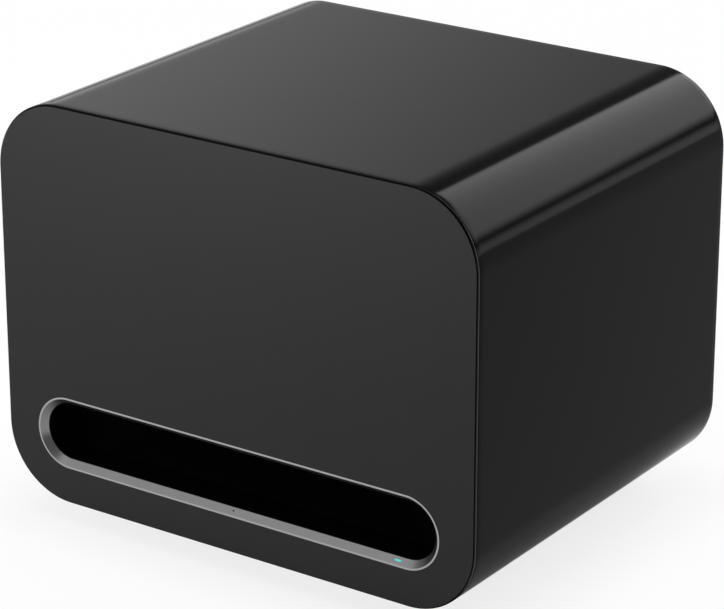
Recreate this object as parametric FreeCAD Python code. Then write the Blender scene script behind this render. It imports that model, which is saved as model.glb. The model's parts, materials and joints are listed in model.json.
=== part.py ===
import FreeCAD, Part
import math
import os

from FreeCAD import Vector

# Wireless subwoofer: a wide box with rounded long edges, a slot port with a metal bezel in
# the front, a woofer that fires down through the floor, and an amplifier in the back.
# Millimetres. +Z is up, the front faces -Y, and +X is on the right seen from the front.
# The origin is the middle of the footprint, on the surface that the feet stand on.

# Cabinet, without its feet
CABINET_WIDTH = 370.0
CABINET_HEIGHT = 277.0
CABINET_DEPTH = 298.0
EDGE_RADIUS = 49.4
WALL = 15.0
FRONT_BOARD = 18.0
BACK_BOARD = 18.0
BACK_RECESS = 2.0

# Clearances
GLUE_LINE = 0.1
TRIM_GAP = 0.3
SHANK_GAP = 0.1
PILOT_GAP = 1.0
MAGNET_DUCT_GAP = 3.6
MAGNET_COVER_GAP = 5.0
BRACE_MAGNET_GAP = 8.0

# Feet, one near each corner of the floor
FOOT_HEIGHT = 15.0
FOOT_RADIUS = 17.0
FOOT_SKIRT = 2.0
FOOT_FROM_SIDE = 75.0
FOOT_FROM_END = 51.0
FOOT_BORE_RADIUS = 2.4
FOOT_COUNTERBORE_RADIUS = 5.5
FOOT_COUNTERBORE_DEPTH = 6.0

# Front frame: a thin rim round the panel, a groove behind it and a plug inside the walls. The
# panel stands a little proud of the rim.
RIM_DEPTH = 1.8
RIM_CHAMFER = 0.5
RIM_LAND = 0.3
SHADOW_GAP = 0.35
PANEL_SHEET = 1.2
PANEL_PROUD = 0.8
SEAM_WIDTH = 0.6
SEAM_DEPTH = 1.2
PLUG_DEPTH = 3.0

# Slot in the front and its bezel
SLOT_MARGIN = 25.6
SLOT_HALF_HEIGHT = 25.2
LIP_WIDTH = 1.2
LIP_PROUD = 0.3
LIP_OVERLAP = 0.9
TAPER_WIDTH = 4.0
TAPER_DEPTH = 4.1

# Status light and microphone behind the lower side of the bezel
LIGHT_FROM_END = 32.0
LIGHT_LENGTH = 5.2
LIGHT_THICKNESS = 0.9
LIGHT_SHARE = 0.56
MIC_X = 0.0
MIC_SHARE = 0.62
MIC_HOLE_RADIUS = 0.6
STRIP_BOARD = 1.0
STRIP_HEIGHT = 7.0
STRIP_END = 9.0
POCKET_SKIN = 0.5
LED_LENGTH = 3.0
LED_HEIGHT = 1.4
LED_DEPTH = 1.25
MIC_LENGTH = 3.5
MIC_HEIGHT = 2.6
MIC_DEPTH = 1.1
PIPE_FOOT = 1.1

# Port duct
PORT_WALL = 3.0
PORT_FLANGE = 6.0
PORT_FLANGE_THICKNESS = 3.0
PORT_GASKET = 1.0
FUNNEL_LENGTH = 27.0
DUCT_FROM_END = 54.4
DUCT_HALF_HEIGHT = 8.0
BEND_RADIUS = 30.0
OUTLET_BELOW_LID = 29.0
OUTLET_LENGTH = 70.0
FLARE_LENGTH = 25.0
FLARE_GROWTH = 6.0

# Woofer, measured from its mounting face
LARGEST_DRIVER_RADIUS = 104.0
DRIVER_FROM_SIDE = 81.0
DRIVER_HOLE_GAP = 2.0
DRIVER_GASKET = 1.5
RING_THICKNESS = 12.0
RING_MARGIN = 22.0
FLANGE_WIDTH = 13.0
SKIRT_GAP = 1.0
SKIRT_HEIGHT = 19.0
BASKET_WALL = 3.0
FLANGE_THICKNESS = 3.5
SCREW_FROM_RIM = 4.5
SCREW_COUNT = 8
ARM_COUNT = 6
WINDOW_WIDTH = 34.0
LEDGE_RISE = 45.0
LEDGE_PAST_PLATE = 8.0
LEDGE_SHELF = 3.0
PLATE_RISE = 59.0
PLATE_SEAT_INNER_RADIUS = 40.0
LUG_LENGTH = 20.0
LUG_WIDTH = 16.0
TERMINAL_LENGTH = 14.0
TERMINAL_HEIGHT = 10.0
TERMINAL_INSET = 4.0
TERMINAL_TAB = 6.0
TERMINAL_TAB_WIDTH = 4.8
TERMINAL_TAB_THICKNESS = 0.8
TERMINAL_TAB_RISE = 3.0
CONE_LAND = 4.5
CONE_THICKNESS = 1.2
CONE_DEPTH = 33.0
CAP_RADIUS = 36.0
CAP_HEIGHT = 12.0
CAP_THICKNESS = 1.0
ROLL_RADIUS = 8.0
SURROUND_THICKNESS = 1.0
SURROUND_LIP = 4.5
SURROUND_FROM_RIM = 9.5
FORMER_RADIUS = 24.9
FORMER_THICKNESS = 0.4
FORMER_LENGTH = 43.0
COIL_THICKNESS = 1.1
COIL_LENGTH = 24.0
COIL_GAP = 0.7
SPIDER_EDGE_GAP = 2.0
SPIDER_THICKNESS = 0.6
SPIDER_INNER_LIP = 3.0
SPIDER_WAVES = 5
SPIDER_WAVE_HEIGHT = 2.0
SPIDER_WAVE_STEPS = 8
TOP_PLATE_RADIUS = 58.0
TOP_PLATE_THICKNESS = 8.0
MAGNET_BORE_RADIUS = 32.0
MAGNET_THICKNESS = 20.0
MAGNET_COUNT = 2
YOKE_INSET = 8.0
YOKE_THICKNESS = 8.0
VENT_RADIUS = 8.0

# Brace across the cabinet and the felt pads on its side walls
BRACE_THICKNESS = 18.0
BRACE_WIDTH = 40.0
PAD_THICKNESS = 18.0
PAD_LENGTH = 210.0
PAD_ABOVE_BRACE = 6.0
PAD_BELOW_CORNER = 4.6

# Amplifier module in the back
AMP_RISE = 150.0
AMP_WIDTH = 200.0
AMP_HEIGHT = 150.0
AMP_BORDER = 11.0
AMP_CORNER_RADIUS = 6.0
AMP_PLATE = 3.0
AMP_REBATE = 3.0
AMP_GASKET = 1.0
FIN_GROOVE_COUNT = 17
FIN_GROOVE_WIDTH = 3.0
FIN_GROOVE_HEIGHT = 46.0
FIN_GROOVE_DEPTH = 1.2
FIN_GROOVE_RISE = 30.0
FIN_GROOVE_PITCH = 9.0
TRAY_ABOVE_CUT = 4.5
TRAY_HALF_WIDTH = 57.5
TRAY_HALF_HEIGHT = 22.0
TRAY_DEPTH = 14.0
TRAY_WALL = 2.5

# Sockets and the button in the tray
INLET_X = 34.0
INLET_HALF_LENGTH = 8.4
INLET_HALF_HEIGHT = 4.3
INLET_DEPTH = 12.0
INLET_WALL = 1.8
INLET_FLANGE = 3.0
INLET_FLANGE_THICKNESS = 1.5
PIN_SPACING = 8.6
PIN_RADIUS = 1.2
PIN_LENGTH = 10.0
JACK_LEFT_X = -4.0
JACK_RIGHT_X = -24.0
JACK_RADIUS = 4.15
JACK_SHELL = 0.9
JACK_SHOULDER = 0.3
JACK_CORE_SUNK = 0.8
JACK_LENGTH = 9.0
JACK_TAIL = 5.0
JACK_CONTACT_RADIUS = 1.6
JACK_CONTACT_DEPTH = 14.0
JACK_BLOCK_WIDTH = 12.0
BUTTON_X = -44.0
BUTTON_RADIUS = 4.0
BUTTON_PROUD = 1.8
BUTTON_FLANGE_RADIUS = 5.5
BUTTON_FLANGE = 1.1
BUTTON_STEM_RADIUS = 1.5
BUTTON_TRAVEL = 0.8
SWITCH_WIDTH = 6.2
SWITCH_HEIGHT = 3.8
PLUNGER_RADIUS = 1.65
PLUNGER_PROUD = 0.8
RUNNING_GAP = 0.1

# Amplifier board and what it carries
BOARD_SIDE_GAP = 11.0
BOARD_END_GAP = 10.0
BOARD_THICKNESS = 1.6
BOARD_DEPTH = 25.4
BOARD_INSET = 8.0
POST_RADIUS = 3.0
POST_STUB_RADIUS = 1.6
POST_HEAD_RADIUS = 2.4
POST_HEAD = 1.5
TRANSFORMER_X = 40.0
TRANSFORMER_RISE = -22.0
TRANSFORMER_WIDTH = 36.0
TRANSFORMER_HEIGHT = 32.0
TRANSFORMER_DEPTH = 17.0
TRANSFORMER_LEG = 7.0
CAPACITOR_X = 8.0
CAPACITOR_RADIUS = 10.0
CAPACITOR_LENGTH = 17.0
CAPACITOR_RISE = -24.0
CAPACITOR_SPACING = 24.0
INDUCTOR_X = -45.0
INDUCTOR_RADIUS = 11.0
INDUCTOR_HOLE = 4.5
INDUCTOR_HEIGHT = 10.0
INDUCTOR_SPACING = 26.0
INDUCTOR_MODULE_GAP = 3.0
SINK_HALF_WIDTH = 48.0
SINK_ABOVE_TRAY = 10.5
SINK_FROM_EDGE = 10.0
SINK_BASE = 4.0
SINK_FIN = 1.6
SINK_FIN_COUNT = 11
CHIP_WIDTH = 14.0
CHIP_THICKNESS = 1.5
CHIP_SPACING = 50.0
MODULE_FROM_SIDE = 30.0
MODULE_FROM_TOP = 16.0
MODULE_WIDTH = 32.0
MODULE_HEIGHT = 22.0
MODULE_CAN = 2.4
MODULE_MARGIN = 3.0
ANTENNA_LENGTH = 40.0
ANTENNA_WIDTH = 8.0
ANTENNA_THICKNESS = 0.8
ANTENNA_FROM_TOP = 24.0

# Cover that seals the amplifier off from the air in the cabinet
COVER_GAP = 1.0
COVER_WALL = 2.0
COVER_DEPTH = 34.0
COVER_FLANGE = 10.0
COVER_FLANGE_THICKNESS = 3.0
COVER_SCREW_X = 50.0
COVER_SCREW_Z = 35.0

# Leads, their grommets and their connectors
SPEAKER_LEAD = 2.4
SPEAKER_LEAD_SPACING = 4.0
SPEAKER_ENTRY_X = 60.0
SPEAKER_ENTRY_FROM_EDGE = 1.0
FRONT_LEAD = 3.0
FRONT_LEAD_FROM_LIGHT = 17.4
FRONT_LEAD_RISE = 3.7
FRONT_ENTRY_FROM_EDGE = 19.0
GROMMET_RADIUS = 6.0
GROMMET_NECK = 1.4
GROMMET_LIP = 2.5
CONNECTOR_WIDTH = 10.0
CONNECTOR_DEPTH = 10.0
RUN_SHARE = 0.45

# Screws: shank radius, head radius, head height and the length under the head
WOOD_SCREW = (2.0, 4.0, 2.6, 16.0)
FOOT_SCREW = (2.0, 4.2, 2.8, 18.5)
PORT_SCREW = (1.5, 2.6, 1.8, 15.0)
PLATE_SCREW = (1.9, 3.6, 1.0, 13.0)
COVER_SCREW = (1.5, 2.9, 2.0, 12.0)
DRIVE_SHARE = 0.5

# Heights
FLOOR_Z = FOOT_HEIGHT
LID_Z = FLOOR_Z + CABINET_HEIGHT
MIDDLE_Z = FLOOR_Z + CABINET_HEIGHT / 2
INNER_FLOOR_Z = FLOOR_Z + WALL
INNER_LID_Z = LID_Z - WALL
SLOT_Z = FLOOR_Z + SLOT_MARGIN + SLOT_HALF_HEIGHT
AMP_Z = FLOOR_Z + AMP_RISE

# Depths, from the front to the back
FRONT_Y = -CABINET_DEPTH / 2
RIM_BACK_Y = FRONT_Y + RIM_DEPTH
WALLS_FRONT_Y = RIM_BACK_Y + SEAM_WIDTH
BAFFLE_Y = WALLS_FRONT_Y + PLUG_DEPTH
BAFFLE_BACK_Y = BAFFLE_Y + FRONT_BOARD
FLANGE_Y = BAFFLE_BACK_Y + PORT_GASKET
FUNNEL_Y = FLANGE_Y + PORT_FLANGE_THICKNESS
FUNNEL_END_Y = FUNNEL_Y + FUNNEL_LENGTH
RISER_Y = FUNNEL_END_Y + BEND_RADIUS
OUTLET_Y = RISER_Y + BEND_RADIUS
BACK_Y = CABINET_DEPTH / 2
BACK_BOARD_OUTER_Y = BACK_Y - BACK_RECESS
BACK_BOARD_INNER_Y = BACK_BOARD_OUTER_Y - BACK_BOARD
AMP_INNER_Y = BACK_BOARD_OUTER_Y - AMP_REBATE + AMP_GASKET
AMP_OUTER_Y = AMP_INNER_Y + AMP_PLATE
TRAY_FLOOR_Y = AMP_OUTER_Y - TRAY_DEPTH
TRAY_INNER_Y = TRAY_FLOOR_Y - TRAY_WALL
BOARD_BACK_Y = AMP_INNER_Y - BOARD_DEPTH
BOARD_FRONT_Y = BOARD_BACK_Y - BOARD_THICKNESS
COVER_Y = BACK_BOARD_INNER_Y - COVER_DEPTH

# Feet
FOOT_X = CABINET_WIDTH / 2 - FOOT_FROM_SIDE
FOOT_Y = CABINET_DEPTH / 2 - FOOT_FROM_END

# Slot outlines, as insets from the outer edge of the lip
SLOT_HALF_LENGTH = CABINET_WIDTH / 2 - SLOT_MARGIN
PANEL_HOLE_INSET = LIP_OVERLAP
BARREL_INSET = LIP_OVERLAP + TRIM_GAP
THROAT_INSET = LIP_WIDTH + TAPER_WIDTH
TUBE_INSET = THROAT_INSET - PORT_WALL
TUBE_HOLE_INSET = TUBE_INSET - TRIM_GAP
LIGHT_X = SLOT_HALF_LENGTH - LIGHT_FROM_END

# Duct
DUCT_HALF_LENGTH = SLOT_HALF_LENGTH - DUCT_FROM_END
RISER_BOTTOM_Z = SLOT_Z + BEND_RADIUS
OUTLET_Z = INNER_LID_Z - OUTLET_BELOW_LID
RISER_TOP_Z = OUTLET_Z - BEND_RADIUS

# Woofer, whose magnet fills the room between the duct and the amplifier's cover
MAGNET_FRONT_Y = RISER_Y + DUCT_HALF_HEIGHT + PORT_WALL + MAGNET_DUCT_GAP
MAGNET_BACK_Y = COVER_Y - MAGNET_COVER_GAP
MAGNET_RADIUS = (MAGNET_BACK_Y - MAGNET_FRONT_Y) / 2
DRIVER_Y = MAGNET_BACK_Y - MAGNET_RADIUS
DRIVER_Z = INNER_FLOOR_Z - DRIVER_GASKET - FLANGE_THICKNESS
DRIVER_AXIS = Vector(0, DRIVER_Y, 0)
DRIVER_RADIUS = min(LARGEST_DRIVER_RADIUS, CABINET_WIDTH / 2 - DRIVER_FROM_SIDE)
RING_RADIUS = DRIVER_RADIUS + RING_MARGIN
SKIRT_RADIUS = DRIVER_RADIUS - FLANGE_WIDTH
SCREW_CIRCLE = DRIVER_RADIUS - SCREW_FROM_RIM
CONE_RADIUS = DRIVER_RADIUS - SURROUND_FROM_RIM - SURROUND_LIP - 2 * ROLL_RADIUS
LEDGE_OUTER_RADIUS = TOP_PLATE_RADIUS + LEDGE_PAST_PLATE
LEDGE_INNER_RADIUS = TOP_PLATE_RADIUS - BASKET_WALL - LEDGE_SHELF
LUG_REACH = LEDGE_OUTER_RADIUS + LUG_LENGTH
SPIDER_RADIUS = LEDGE_OUTER_RADIUS - BASKET_WALL - SPIDER_EDGE_GAP
PLATE_Z = DRIVER_Z + PLATE_RISE
YOKE_RADIUS = MAGNET_RADIUS - YOKE_INSET
MAGNET_Z = PLATE_Z + TOP_PLATE_THICKNESS
YOKE_Z = MAGNET_Z + MAGNET_COUNT * MAGNET_THICKNESS
LEDGE_Z = DRIVER_Z + LEDGE_RISE
LUG_TOP_Z = LEDGE_Z + BASKET_WALL

# Brace and pads
BRACE_Z = YOKE_Z + YOKE_THICKNESS + BRACE_MAGNET_GAP
PAD_Z = BRACE_Z + BRACE_THICKNESS + PAD_ABOVE_BRACE
PAD_TOP_Z = LID_Z - EDGE_RADIUS - PAD_BELOW_CORNER

# Amplifier
AMP_CUT_HALF_WIDTH = AMP_WIDTH / 2 - AMP_BORDER
AMP_CUT_HALF_HEIGHT = AMP_HEIGHT / 2 - AMP_BORDER
TRAY_Z = AMP_Z - AMP_CUT_HALF_HEIGHT + TRAY_ABOVE_CUT + TRAY_WALL + TRAY_HALF_HEIGHT
BOARD_HALF_WIDTH = AMP_CUT_HALF_WIDTH - BOARD_SIDE_GAP
BOARD_HALF_HEIGHT = AMP_CUT_HALF_HEIGHT - BOARD_END_GAP
SINK_Z = (TRAY_Z + TRAY_HALF_HEIGHT + TRAY_WALL + SINK_ABOVE_TRAY,
          AMP_Z + BOARD_HALF_HEIGHT - SINK_FROM_EDGE)
MODULE_X = MODULE_FROM_SIDE - BOARD_HALF_WIDTH
MODULE_RISE = BOARD_HALF_HEIGHT - MODULE_FROM_TOP
INDUCTOR_TOP_RISE = MODULE_RISE - MODULE_HEIGHT / 2 - INDUCTOR_MODULE_GAP
INDUCTOR_RISE = INDUCTOR_TOP_RISE - INDUCTOR_RADIUS - INDUCTOR_SPACING / 2
ANTENNA_RISE = AMP_CUT_HALF_HEIGHT - ANTENNA_FROM_TOP
SPEAKER_ENTRY_RISE = SPEAKER_ENTRY_FROM_EDGE - BOARD_HALF_HEIGHT
SPEAKER_ENTRY_Z = AMP_Z + SPEAKER_ENTRY_RISE
FRONT_LEAD_X = LIGHT_X - FRONT_LEAD_FROM_LIGHT
FRONT_LEAD_Z = INNER_FLOOR_Z + FRONT_LEAD_RISE
FRONT_ENTRY_Y = BACK_BOARD_INNER_Y - COVER_DEPTH / 2
FRONT_ENTRY_Z = AMP_Z - BOARD_HALF_HEIGHT + FRONT_ENTRY_FROM_EDGE

UP = Vector(0, 0, 1)
BACKWARD = Vector(0, 1, 0)
RIGHT = Vector(1, 0, 0)


# Basic shapes

def block(x, y, z):
    """Box between two values along each axis."""
    return Part.makeBox(x[1] - x[0], y[1] - y[0], z[1] - z[0], Vector(x[0], y[0], z[0]))


def span(middle, half):
    return (middle - half, middle + half)


def rod(radius, start, direction, length):
    return Part.makeCylinder(radius, length, start, direction)


def tube(outer, inner, start, direction, length):
    return rod(outer, start, direction, length).cut(rod(inner, start, direction, length))


def rounded_outline(half_width, half_height, radius, middle_z, y):
    """Upright rectangle with round corners, at one depth."""
    x = half_width - radius
    z = half_height - radius
    corners = ((x, z, 0), (-x, z, 90), (-x, -z, 180), (x, -z, 270))
    arcs = []
    for corner_x, corner_z, start in corners:
        points = []
        for angle in (start, start + 45, start + 90):
            turn = math.radians(angle)
            points.append(Vector(corner_x + radius * math.cos(turn), y,
                                 middle_z + corner_z + radius * math.sin(turn)))
        arcs.append(points)
    edges = []
    for here, after in zip(arcs, arcs[1:] + arcs[:1]):
        edges.append(Part.Arc(*here).toShape())
        if (after[0] - here[2]).Length > 1e-6:
            edges.append(Part.LineSegment(here[2], after[0]).toShape())
    return Part.Wire(edges)


def cabinet_outline(inset, y):
    """Outline of the cabinet, drawn in by an inset."""
    return rounded_outline(CABINET_WIDTH / 2 - inset, CABINET_HEIGHT / 2 - inset,
                           EDGE_RADIUS - inset, MIDDLE_Z, y)


def stadium(half_length, half_height, place):
    """Outline with two straight sides and two round ends. place(u, v) gives its points."""
    reach = half_length - half_height
    sides = (
        Part.LineSegment(place(-reach, -half_height), place(reach, -half_height)),
        Part.Arc(place(reach, -half_height), place(half_length, 0), place(reach, half_height)),
        Part.LineSegment(place(reach, half_height), place(-reach, half_height)),
        Part.Arc(place(-reach, half_height), place(-half_length, 0), place(-reach, -half_height)),
    )
    return Part.Wire([side.toShape() for side in sides])


def upright(y, z, x=0.0):
    """Places a stadium in an upright plane at one depth."""
    return lambda u, v: Vector(x + u, y, z + v)


def level(y, z):
    """Places a stadium in a level plane, with its short way along Y."""
    return lambda u, v: Vector(u, y - v, z)


def slot_outline(inset, y):
    return stadium(SLOT_HALF_LENGTH - inset, SLOT_HALF_HEIGHT - inset, upright(y, SLOT_Z))


def prism(wire, along):
    return Part.Face(wire).extrude(along)


def cabinet_prism(inset, y0, y1):
    return prism(cabinet_outline(inset, y0), Vector(0, y1 - y0, 0))


def slot_prism(inset, y0, y1):
    return prism(slot_outline(inset, y0), Vector(0, y1 - y0, 0))


def loft(first, last):
    return Part.makeLoft([first, last], True, True)


def turned(profile, axis=DRIVER_AXIS):
    """Solid of revolution about an upright axis, from edges or points of (radius, z)."""
    points = [Vector(axis.x + r, axis.y, z) for r, z in profile]
    wire = Part.makePolygon(points + points[:1])
    return Part.Face(wire).revolve(axis, UP, 360)


def turned_edges(edges):
    return Part.Face(Part.Wire(edges)).revolve(DRIVER_AXIS, UP, 360)


def driver_point(r, z):
    return Vector(r, DRIVER_Y, z)


def around_driver(radius, count, z, phase=0.0):
    """Points evenly spaced on a circle about the woofer's axis."""
    step = 2 * math.pi / count
    return [
        Vector(radius * math.cos(step * n + phase), DRIVER_Y + radius * math.sin(step * n + phase), z)
        for n in range(count)
    ]


def screw(size, seat, direction):
    """Pan-head screw with a hexagon socket. seat is under the head, and direction is its way in."""
    shank, head, head_height, length = size
    out = direction * -1
    body = rod(head, seat, out, head_height).fuse(rod(shank, seat, direction, length))
    socket_depth = DRIVE_SHARE * head_height
    top = seat + out * head_height
    side = UP if abs(direction.z) < 0.5 else RIGHT
    corner = side * (DRIVE_SHARE * head)
    corners = []
    for n in range(7):
        turn = FreeCAD.Rotation(direction, 60 * n)
        corners.append(top + turn.multVec(corner))
    socket = prism(Part.makePolygon(corners), direction * socket_depth)
    return body.cut(socket)


def pilot(size, seat, direction):
    """Hole for a screw's shank, a little wider and longer than it."""
    return rod(size[0] + SHANK_GAP, seat, direction, size[3] + PILOT_GAP)


def together(solids):
    return Part.makeCompound(solids)


def without(shape, cutters):
    return shape.cut(together(list(cutters)))


# Leads

def between(start, end, distance):
    return start + (end - start) * (distance / (end - start).Length)


def lead(name, points, diameter):
    """Round lead along straight runs that tangent arcs join. Prints its radii and its fill."""
    edges = []
    radii = []
    here = points[0]
    for before, corner, after in zip(points, points[1:], points[2:]):
        shorter = min((corner - before).Length, (after - corner).Length)
        half_turn = (corner - before).getAngle(after - corner) / 2
        trim = RUN_SHARE * shorter
        radius = trim / math.tan(half_turn)
        entry = between(corner, before, trim)
        leave = between(corner, after, trim)
        inward = (entry - corner) + (leave - corner)
        dip = radius / math.cos(half_turn) - radius
        middle = corner + inward * (dip / inward.Length)
        edges.append(Part.LineSegment(here, entry).toShape())
        edges.append(Part.Arc(entry, middle, leave).toShape())
        radii.append(radius)
        here = leave
    edges.append(Part.LineSegment(here, points[-1]).toShape())
    path = Part.Wire(edges)
    section = Part.Wire(Part.makeCircle(diameter / 2, points[0], points[1] - points[0]))
    solid = path.makePipeShell([section], True, False)
    fill = solid.Volume / (math.pi * (diameter / 2) ** 2 * path.Length)
    shown = ", ".join(f"{radius:.1f}" for radius in radii)
    print(f"{name}: length {path.Length:.1f}, radii {shown}, volume over section x length {fill:.4f}")
    return solid


def speaker_lead_points():
    """From a tab of the woofer's terminals to the connector behind the amplifier's cover."""
    start = Vector(terminal_tab_x(), DRIVER_Y, LUG_TOP_Z + TERMINAL_TAB_RISE)
    end = Vector(SPEAKER_ENTRY_X, BOARD_FRONT_Y - CONNECTOR_DEPTH, SPEAKER_ENTRY_Z)
    return [
        start + Vector(GLUE_LINE, 0, 0),
        start + Vector(20, 0, 0),
        start + Vector(32, 16, 12),
        Vector(end.x + 24, start.y + 42, end.z - 4),
        end - Vector(0, 34, 0),
        end - Vector(0, GLUE_LINE, 0),
    ]


def corner_rise(x):
    """Height of the inner surface above the floor, where the floor curves up into a side wall."""
    radius = EDGE_RADIUS - WALL
    past = max(0.0, x + EDGE_RADIUS - CABINET_WIDTH / 2)
    return radius - math.sqrt(radius ** 2 - past ** 2)


def front_lead_points():
    """From the strip board under the slot, along the floor, to the side of the amplifier's cover."""
    start = Vector(FRONT_LEAD_X, BAFFLE_Y, FRONT_LEAD_Z)
    end = Vector(BOARD_HALF_WIDTH, FRONT_ENTRY_Y, FRONT_ENTRY_Z)
    beside_ring = RING_RADIUS + 5
    lead_side = beside_ring + 2 + FRONT_LEAD / 2
    on_floor = INNER_FLOOR_Z + corner_rise(lead_side) + FRONT_LEAD / 2 + GLUE_LINE
    return [
        start,
        Vector(start.x, BAFFLE_BACK_Y + 13, start.z),
        Vector(beside_ring, BAFFLE_BACK_Y + 38, on_floor),
        Vector(beside_ring + 2, BAFFLE_BACK_Y + 90, on_floor),
        Vector(beside_ring - 1, BAFFLE_BACK_Y + 144, on_floor),
        Vector(beside_ring + 1, end.y - 44, on_floor),
        Vector(beside_ring + 2, end.y - 12, on_floor + 18),
        Vector(beside_ring - 1, end.y, on_floor + 52),
        Vector(beside_ring - 9, end.y, end.z - 12),
        Vector(end.x + 26, end.y, end.z),
        end,
    ]


# Cabinet

def foot_places():
    return [Vector(x, y, 0) for x in (-FOOT_X, FOOT_X) for y in (-FOOT_Y, FOOT_Y)]


def foot_screw_seats():
    return [place + UP * FOOT_COUNTERBORE_DEPTH for place in foot_places()]


def cabinet_shell():
    """Four walls bent in one, with the woofer's hole in the floor."""
    walls = cabinet_prism(0, WALLS_FRONT_Y, BACK_Y).cut(cabinet_prism(WALL, WALLS_FRONT_Y, BACK_Y))
    hole = rod(DRIVER_RADIUS + DRIVER_HOLE_GAP, DRIVER_AXIS + UP * FLOOR_Z, UP, WALL)
    pilots = [pilot(FOOT_SCREW, seat, UP) for seat in foot_screw_seats()]
    return without(walls, [hole] + pilots)


def feet():
    """Rubber feet with a chamfered tread and a counterbore for the screw."""
    solids = []
    for place in foot_places():
        profile = (
            (FOOT_COUNTERBORE_RADIUS, 0),
            (FOOT_RADIUS - FOOT_SKIRT, 0),
            (FOOT_RADIUS, FOOT_SKIRT),
            (FOOT_RADIUS, FOOT_HEIGHT),
            (FOOT_BORE_RADIUS, FOOT_HEIGHT),
            (FOOT_BORE_RADIUS, FOOT_COUNTERBORE_DEPTH),
            (FOOT_COUNTERBORE_RADIUS, FOOT_COUNTERBORE_DEPTH),
        )
        solids.append(turned(profile, place))
    return together(solids)


def foot_screws():
    return together([screw(FOOT_SCREW, seat, UP) for seat in foot_screw_seats()])


def cross_brace():
    reach = CABINET_WIDTH / 2 - WALL - GLUE_LINE
    return block((-reach, reach), span(DRIVER_Y, BRACE_WIDTH / 2), (BRACE_Z, BRACE_Z + BRACE_THICKNESS))


def wadding_pads():
    """A felt pad on each side wall, above the brace."""
    wall_x = CABINET_WIDTH / 2 - WALL - TRIM_GAP
    z = (PAD_Z, PAD_TOP_Z)
    y = span(0, PAD_LENGTH / 2)
    left = block((-wall_x, PAD_THICKNESS - wall_x), y, z)
    right = block((wall_x - PAD_THICKNESS, wall_x), y, z)
    return together([left, right])


# Front

def strip_board_z():
    """Lower and upper edge of the strip board that carries the light and the microphone."""
    top = SLOT_Z - SLOT_HALF_HEIGHT + BARREL_INSET - PIPE_FOOT - LED_HEIGHT
    return (top + LED_HEIGHT - STRIP_HEIGHT, top + LED_HEIGHT)


def strip_board_x():
    return (MIC_X - STRIP_END, LIGHT_X + STRIP_END)


def strip_board_y():
    back = BAFFLE_Y - GLUE_LINE
    return (back - STRIP_BOARD, back)


def on_taper(share):
    """Depth and inset of a point part of the way across the tapered wall of the bezel."""
    depth = FRONT_Y - LIP_PROUD + share * (TAPER_DEPTH + LIP_PROUD)
    return depth, LIP_WIDTH + share * TAPER_WIDTH


def front_frame():
    """Rim, seam neck and plug in one, with a pocket for the panel and one for the strip board."""
    rim_y = FRONT_Y + PANEL_PROUD
    chamfer_y = rim_y + RIM_CHAMFER
    rim = loft(cabinet_outline(RIM_CHAMFER, rim_y), cabinet_outline(0, chamfer_y))
    rim = rim.fuse(cabinet_prism(0, chamfer_y, RIM_BACK_Y))
    neck = cabinet_prism(SEAM_DEPTH, RIM_BACK_Y, WALLS_FRONT_Y)
    plug = cabinet_prism(WALL + TRIM_GAP, WALLS_FRONT_Y, BAFFLE_Y)
    panel_pocket = cabinet_prism(RIM_CHAMFER + RIM_LAND, rim_y, FRONT_Y + PANEL_SHEET)
    low, high = strip_board_z()
    left, right = strip_board_x()
    board_pocket = block((left - TRIM_GAP, right + TRIM_GAP),
                         (FRONT_Y + PANEL_SHEET + POCKET_SKIN, BAFFLE_Y),
                         (low - TRIM_GAP, high + PIPE_FOOT + TRIM_GAP))
    hole = slot_prism(PANEL_HOLE_INSET, FRONT_Y, BAFFLE_Y)
    return without(rim.fuse([neck, plug]), [panel_pocket, board_pocket, hole])


def front_panel():
    inset = RIM_CHAMFER + RIM_LAND + SHADOW_GAP
    sheet = cabinet_prism(inset, FRONT_Y, FRONT_Y + PANEL_SHEET)
    return sheet.cut(slot_prism(PANEL_HOLE_INSET, FRONT_Y, FRONT_Y + PANEL_SHEET))


def front_lead_hole():
    start = Vector(FRONT_LEAD_X, BAFFLE_Y, FRONT_LEAD_Z)
    return rod(FRONT_LEAD / 2 + TRIM_GAP, start, BACKWARD, FRONT_BOARD)


def front_baffle():
    board = cabinet_prism(WALL + GLUE_LINE, BAFFLE_Y, BAFFLE_BACK_Y)
    hole = slot_prism(TUBE_HOLE_INSET, BAFFLE_Y, BAFFLE_BACK_Y)
    return without(board, [hole, front_lead_hole()] + port_screw_holes())


def bezel_ring():
    """Bezel before its holes: a flat lip, a tapered wall and a straight throat."""
    lip_y = FRONT_Y - LIP_PROUD
    taper_y = FRONT_Y + TAPER_DEPTH
    ring = slot_prism(0, lip_y, FRONT_Y).fuse(slot_prism(BARREL_INSET, FRONT_Y, BAFFLE_Y))
    taper = loft(slot_outline(LIP_WIDTH, lip_y), slot_outline(THROAT_INSET, taper_y))
    return without(ring, [taper, slot_prism(THROAT_INSET, taper_y, BAFFLE_Y)])


def light_bar(gap=0.0):
    """Upright bar through the lower side of the bezel, where the light shows."""
    depth, inset = on_taper(LIGHT_SHARE)
    low = strip_board_z()[1]
    high = SLOT_Z - SLOT_HALF_HEIGHT + inset + LIGHT_THICKNESS
    return block(span(LIGHT_X, LIGHT_LENGTH / 2 + gap), span(depth, LIGHT_THICKNESS / 2 + gap), (low, high))


def port_bezel():
    depth, inset = on_taper(MIC_SHARE)
    pinhole = rod(MIC_HOLE_RADIUS, Vector(MIC_X, depth, strip_board_z()[1]), UP,
                  SLOT_HALF_HEIGHT)
    return without(bezel_ring(), [light_bar(GLUE_LINE / 2), pinhole])


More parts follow.
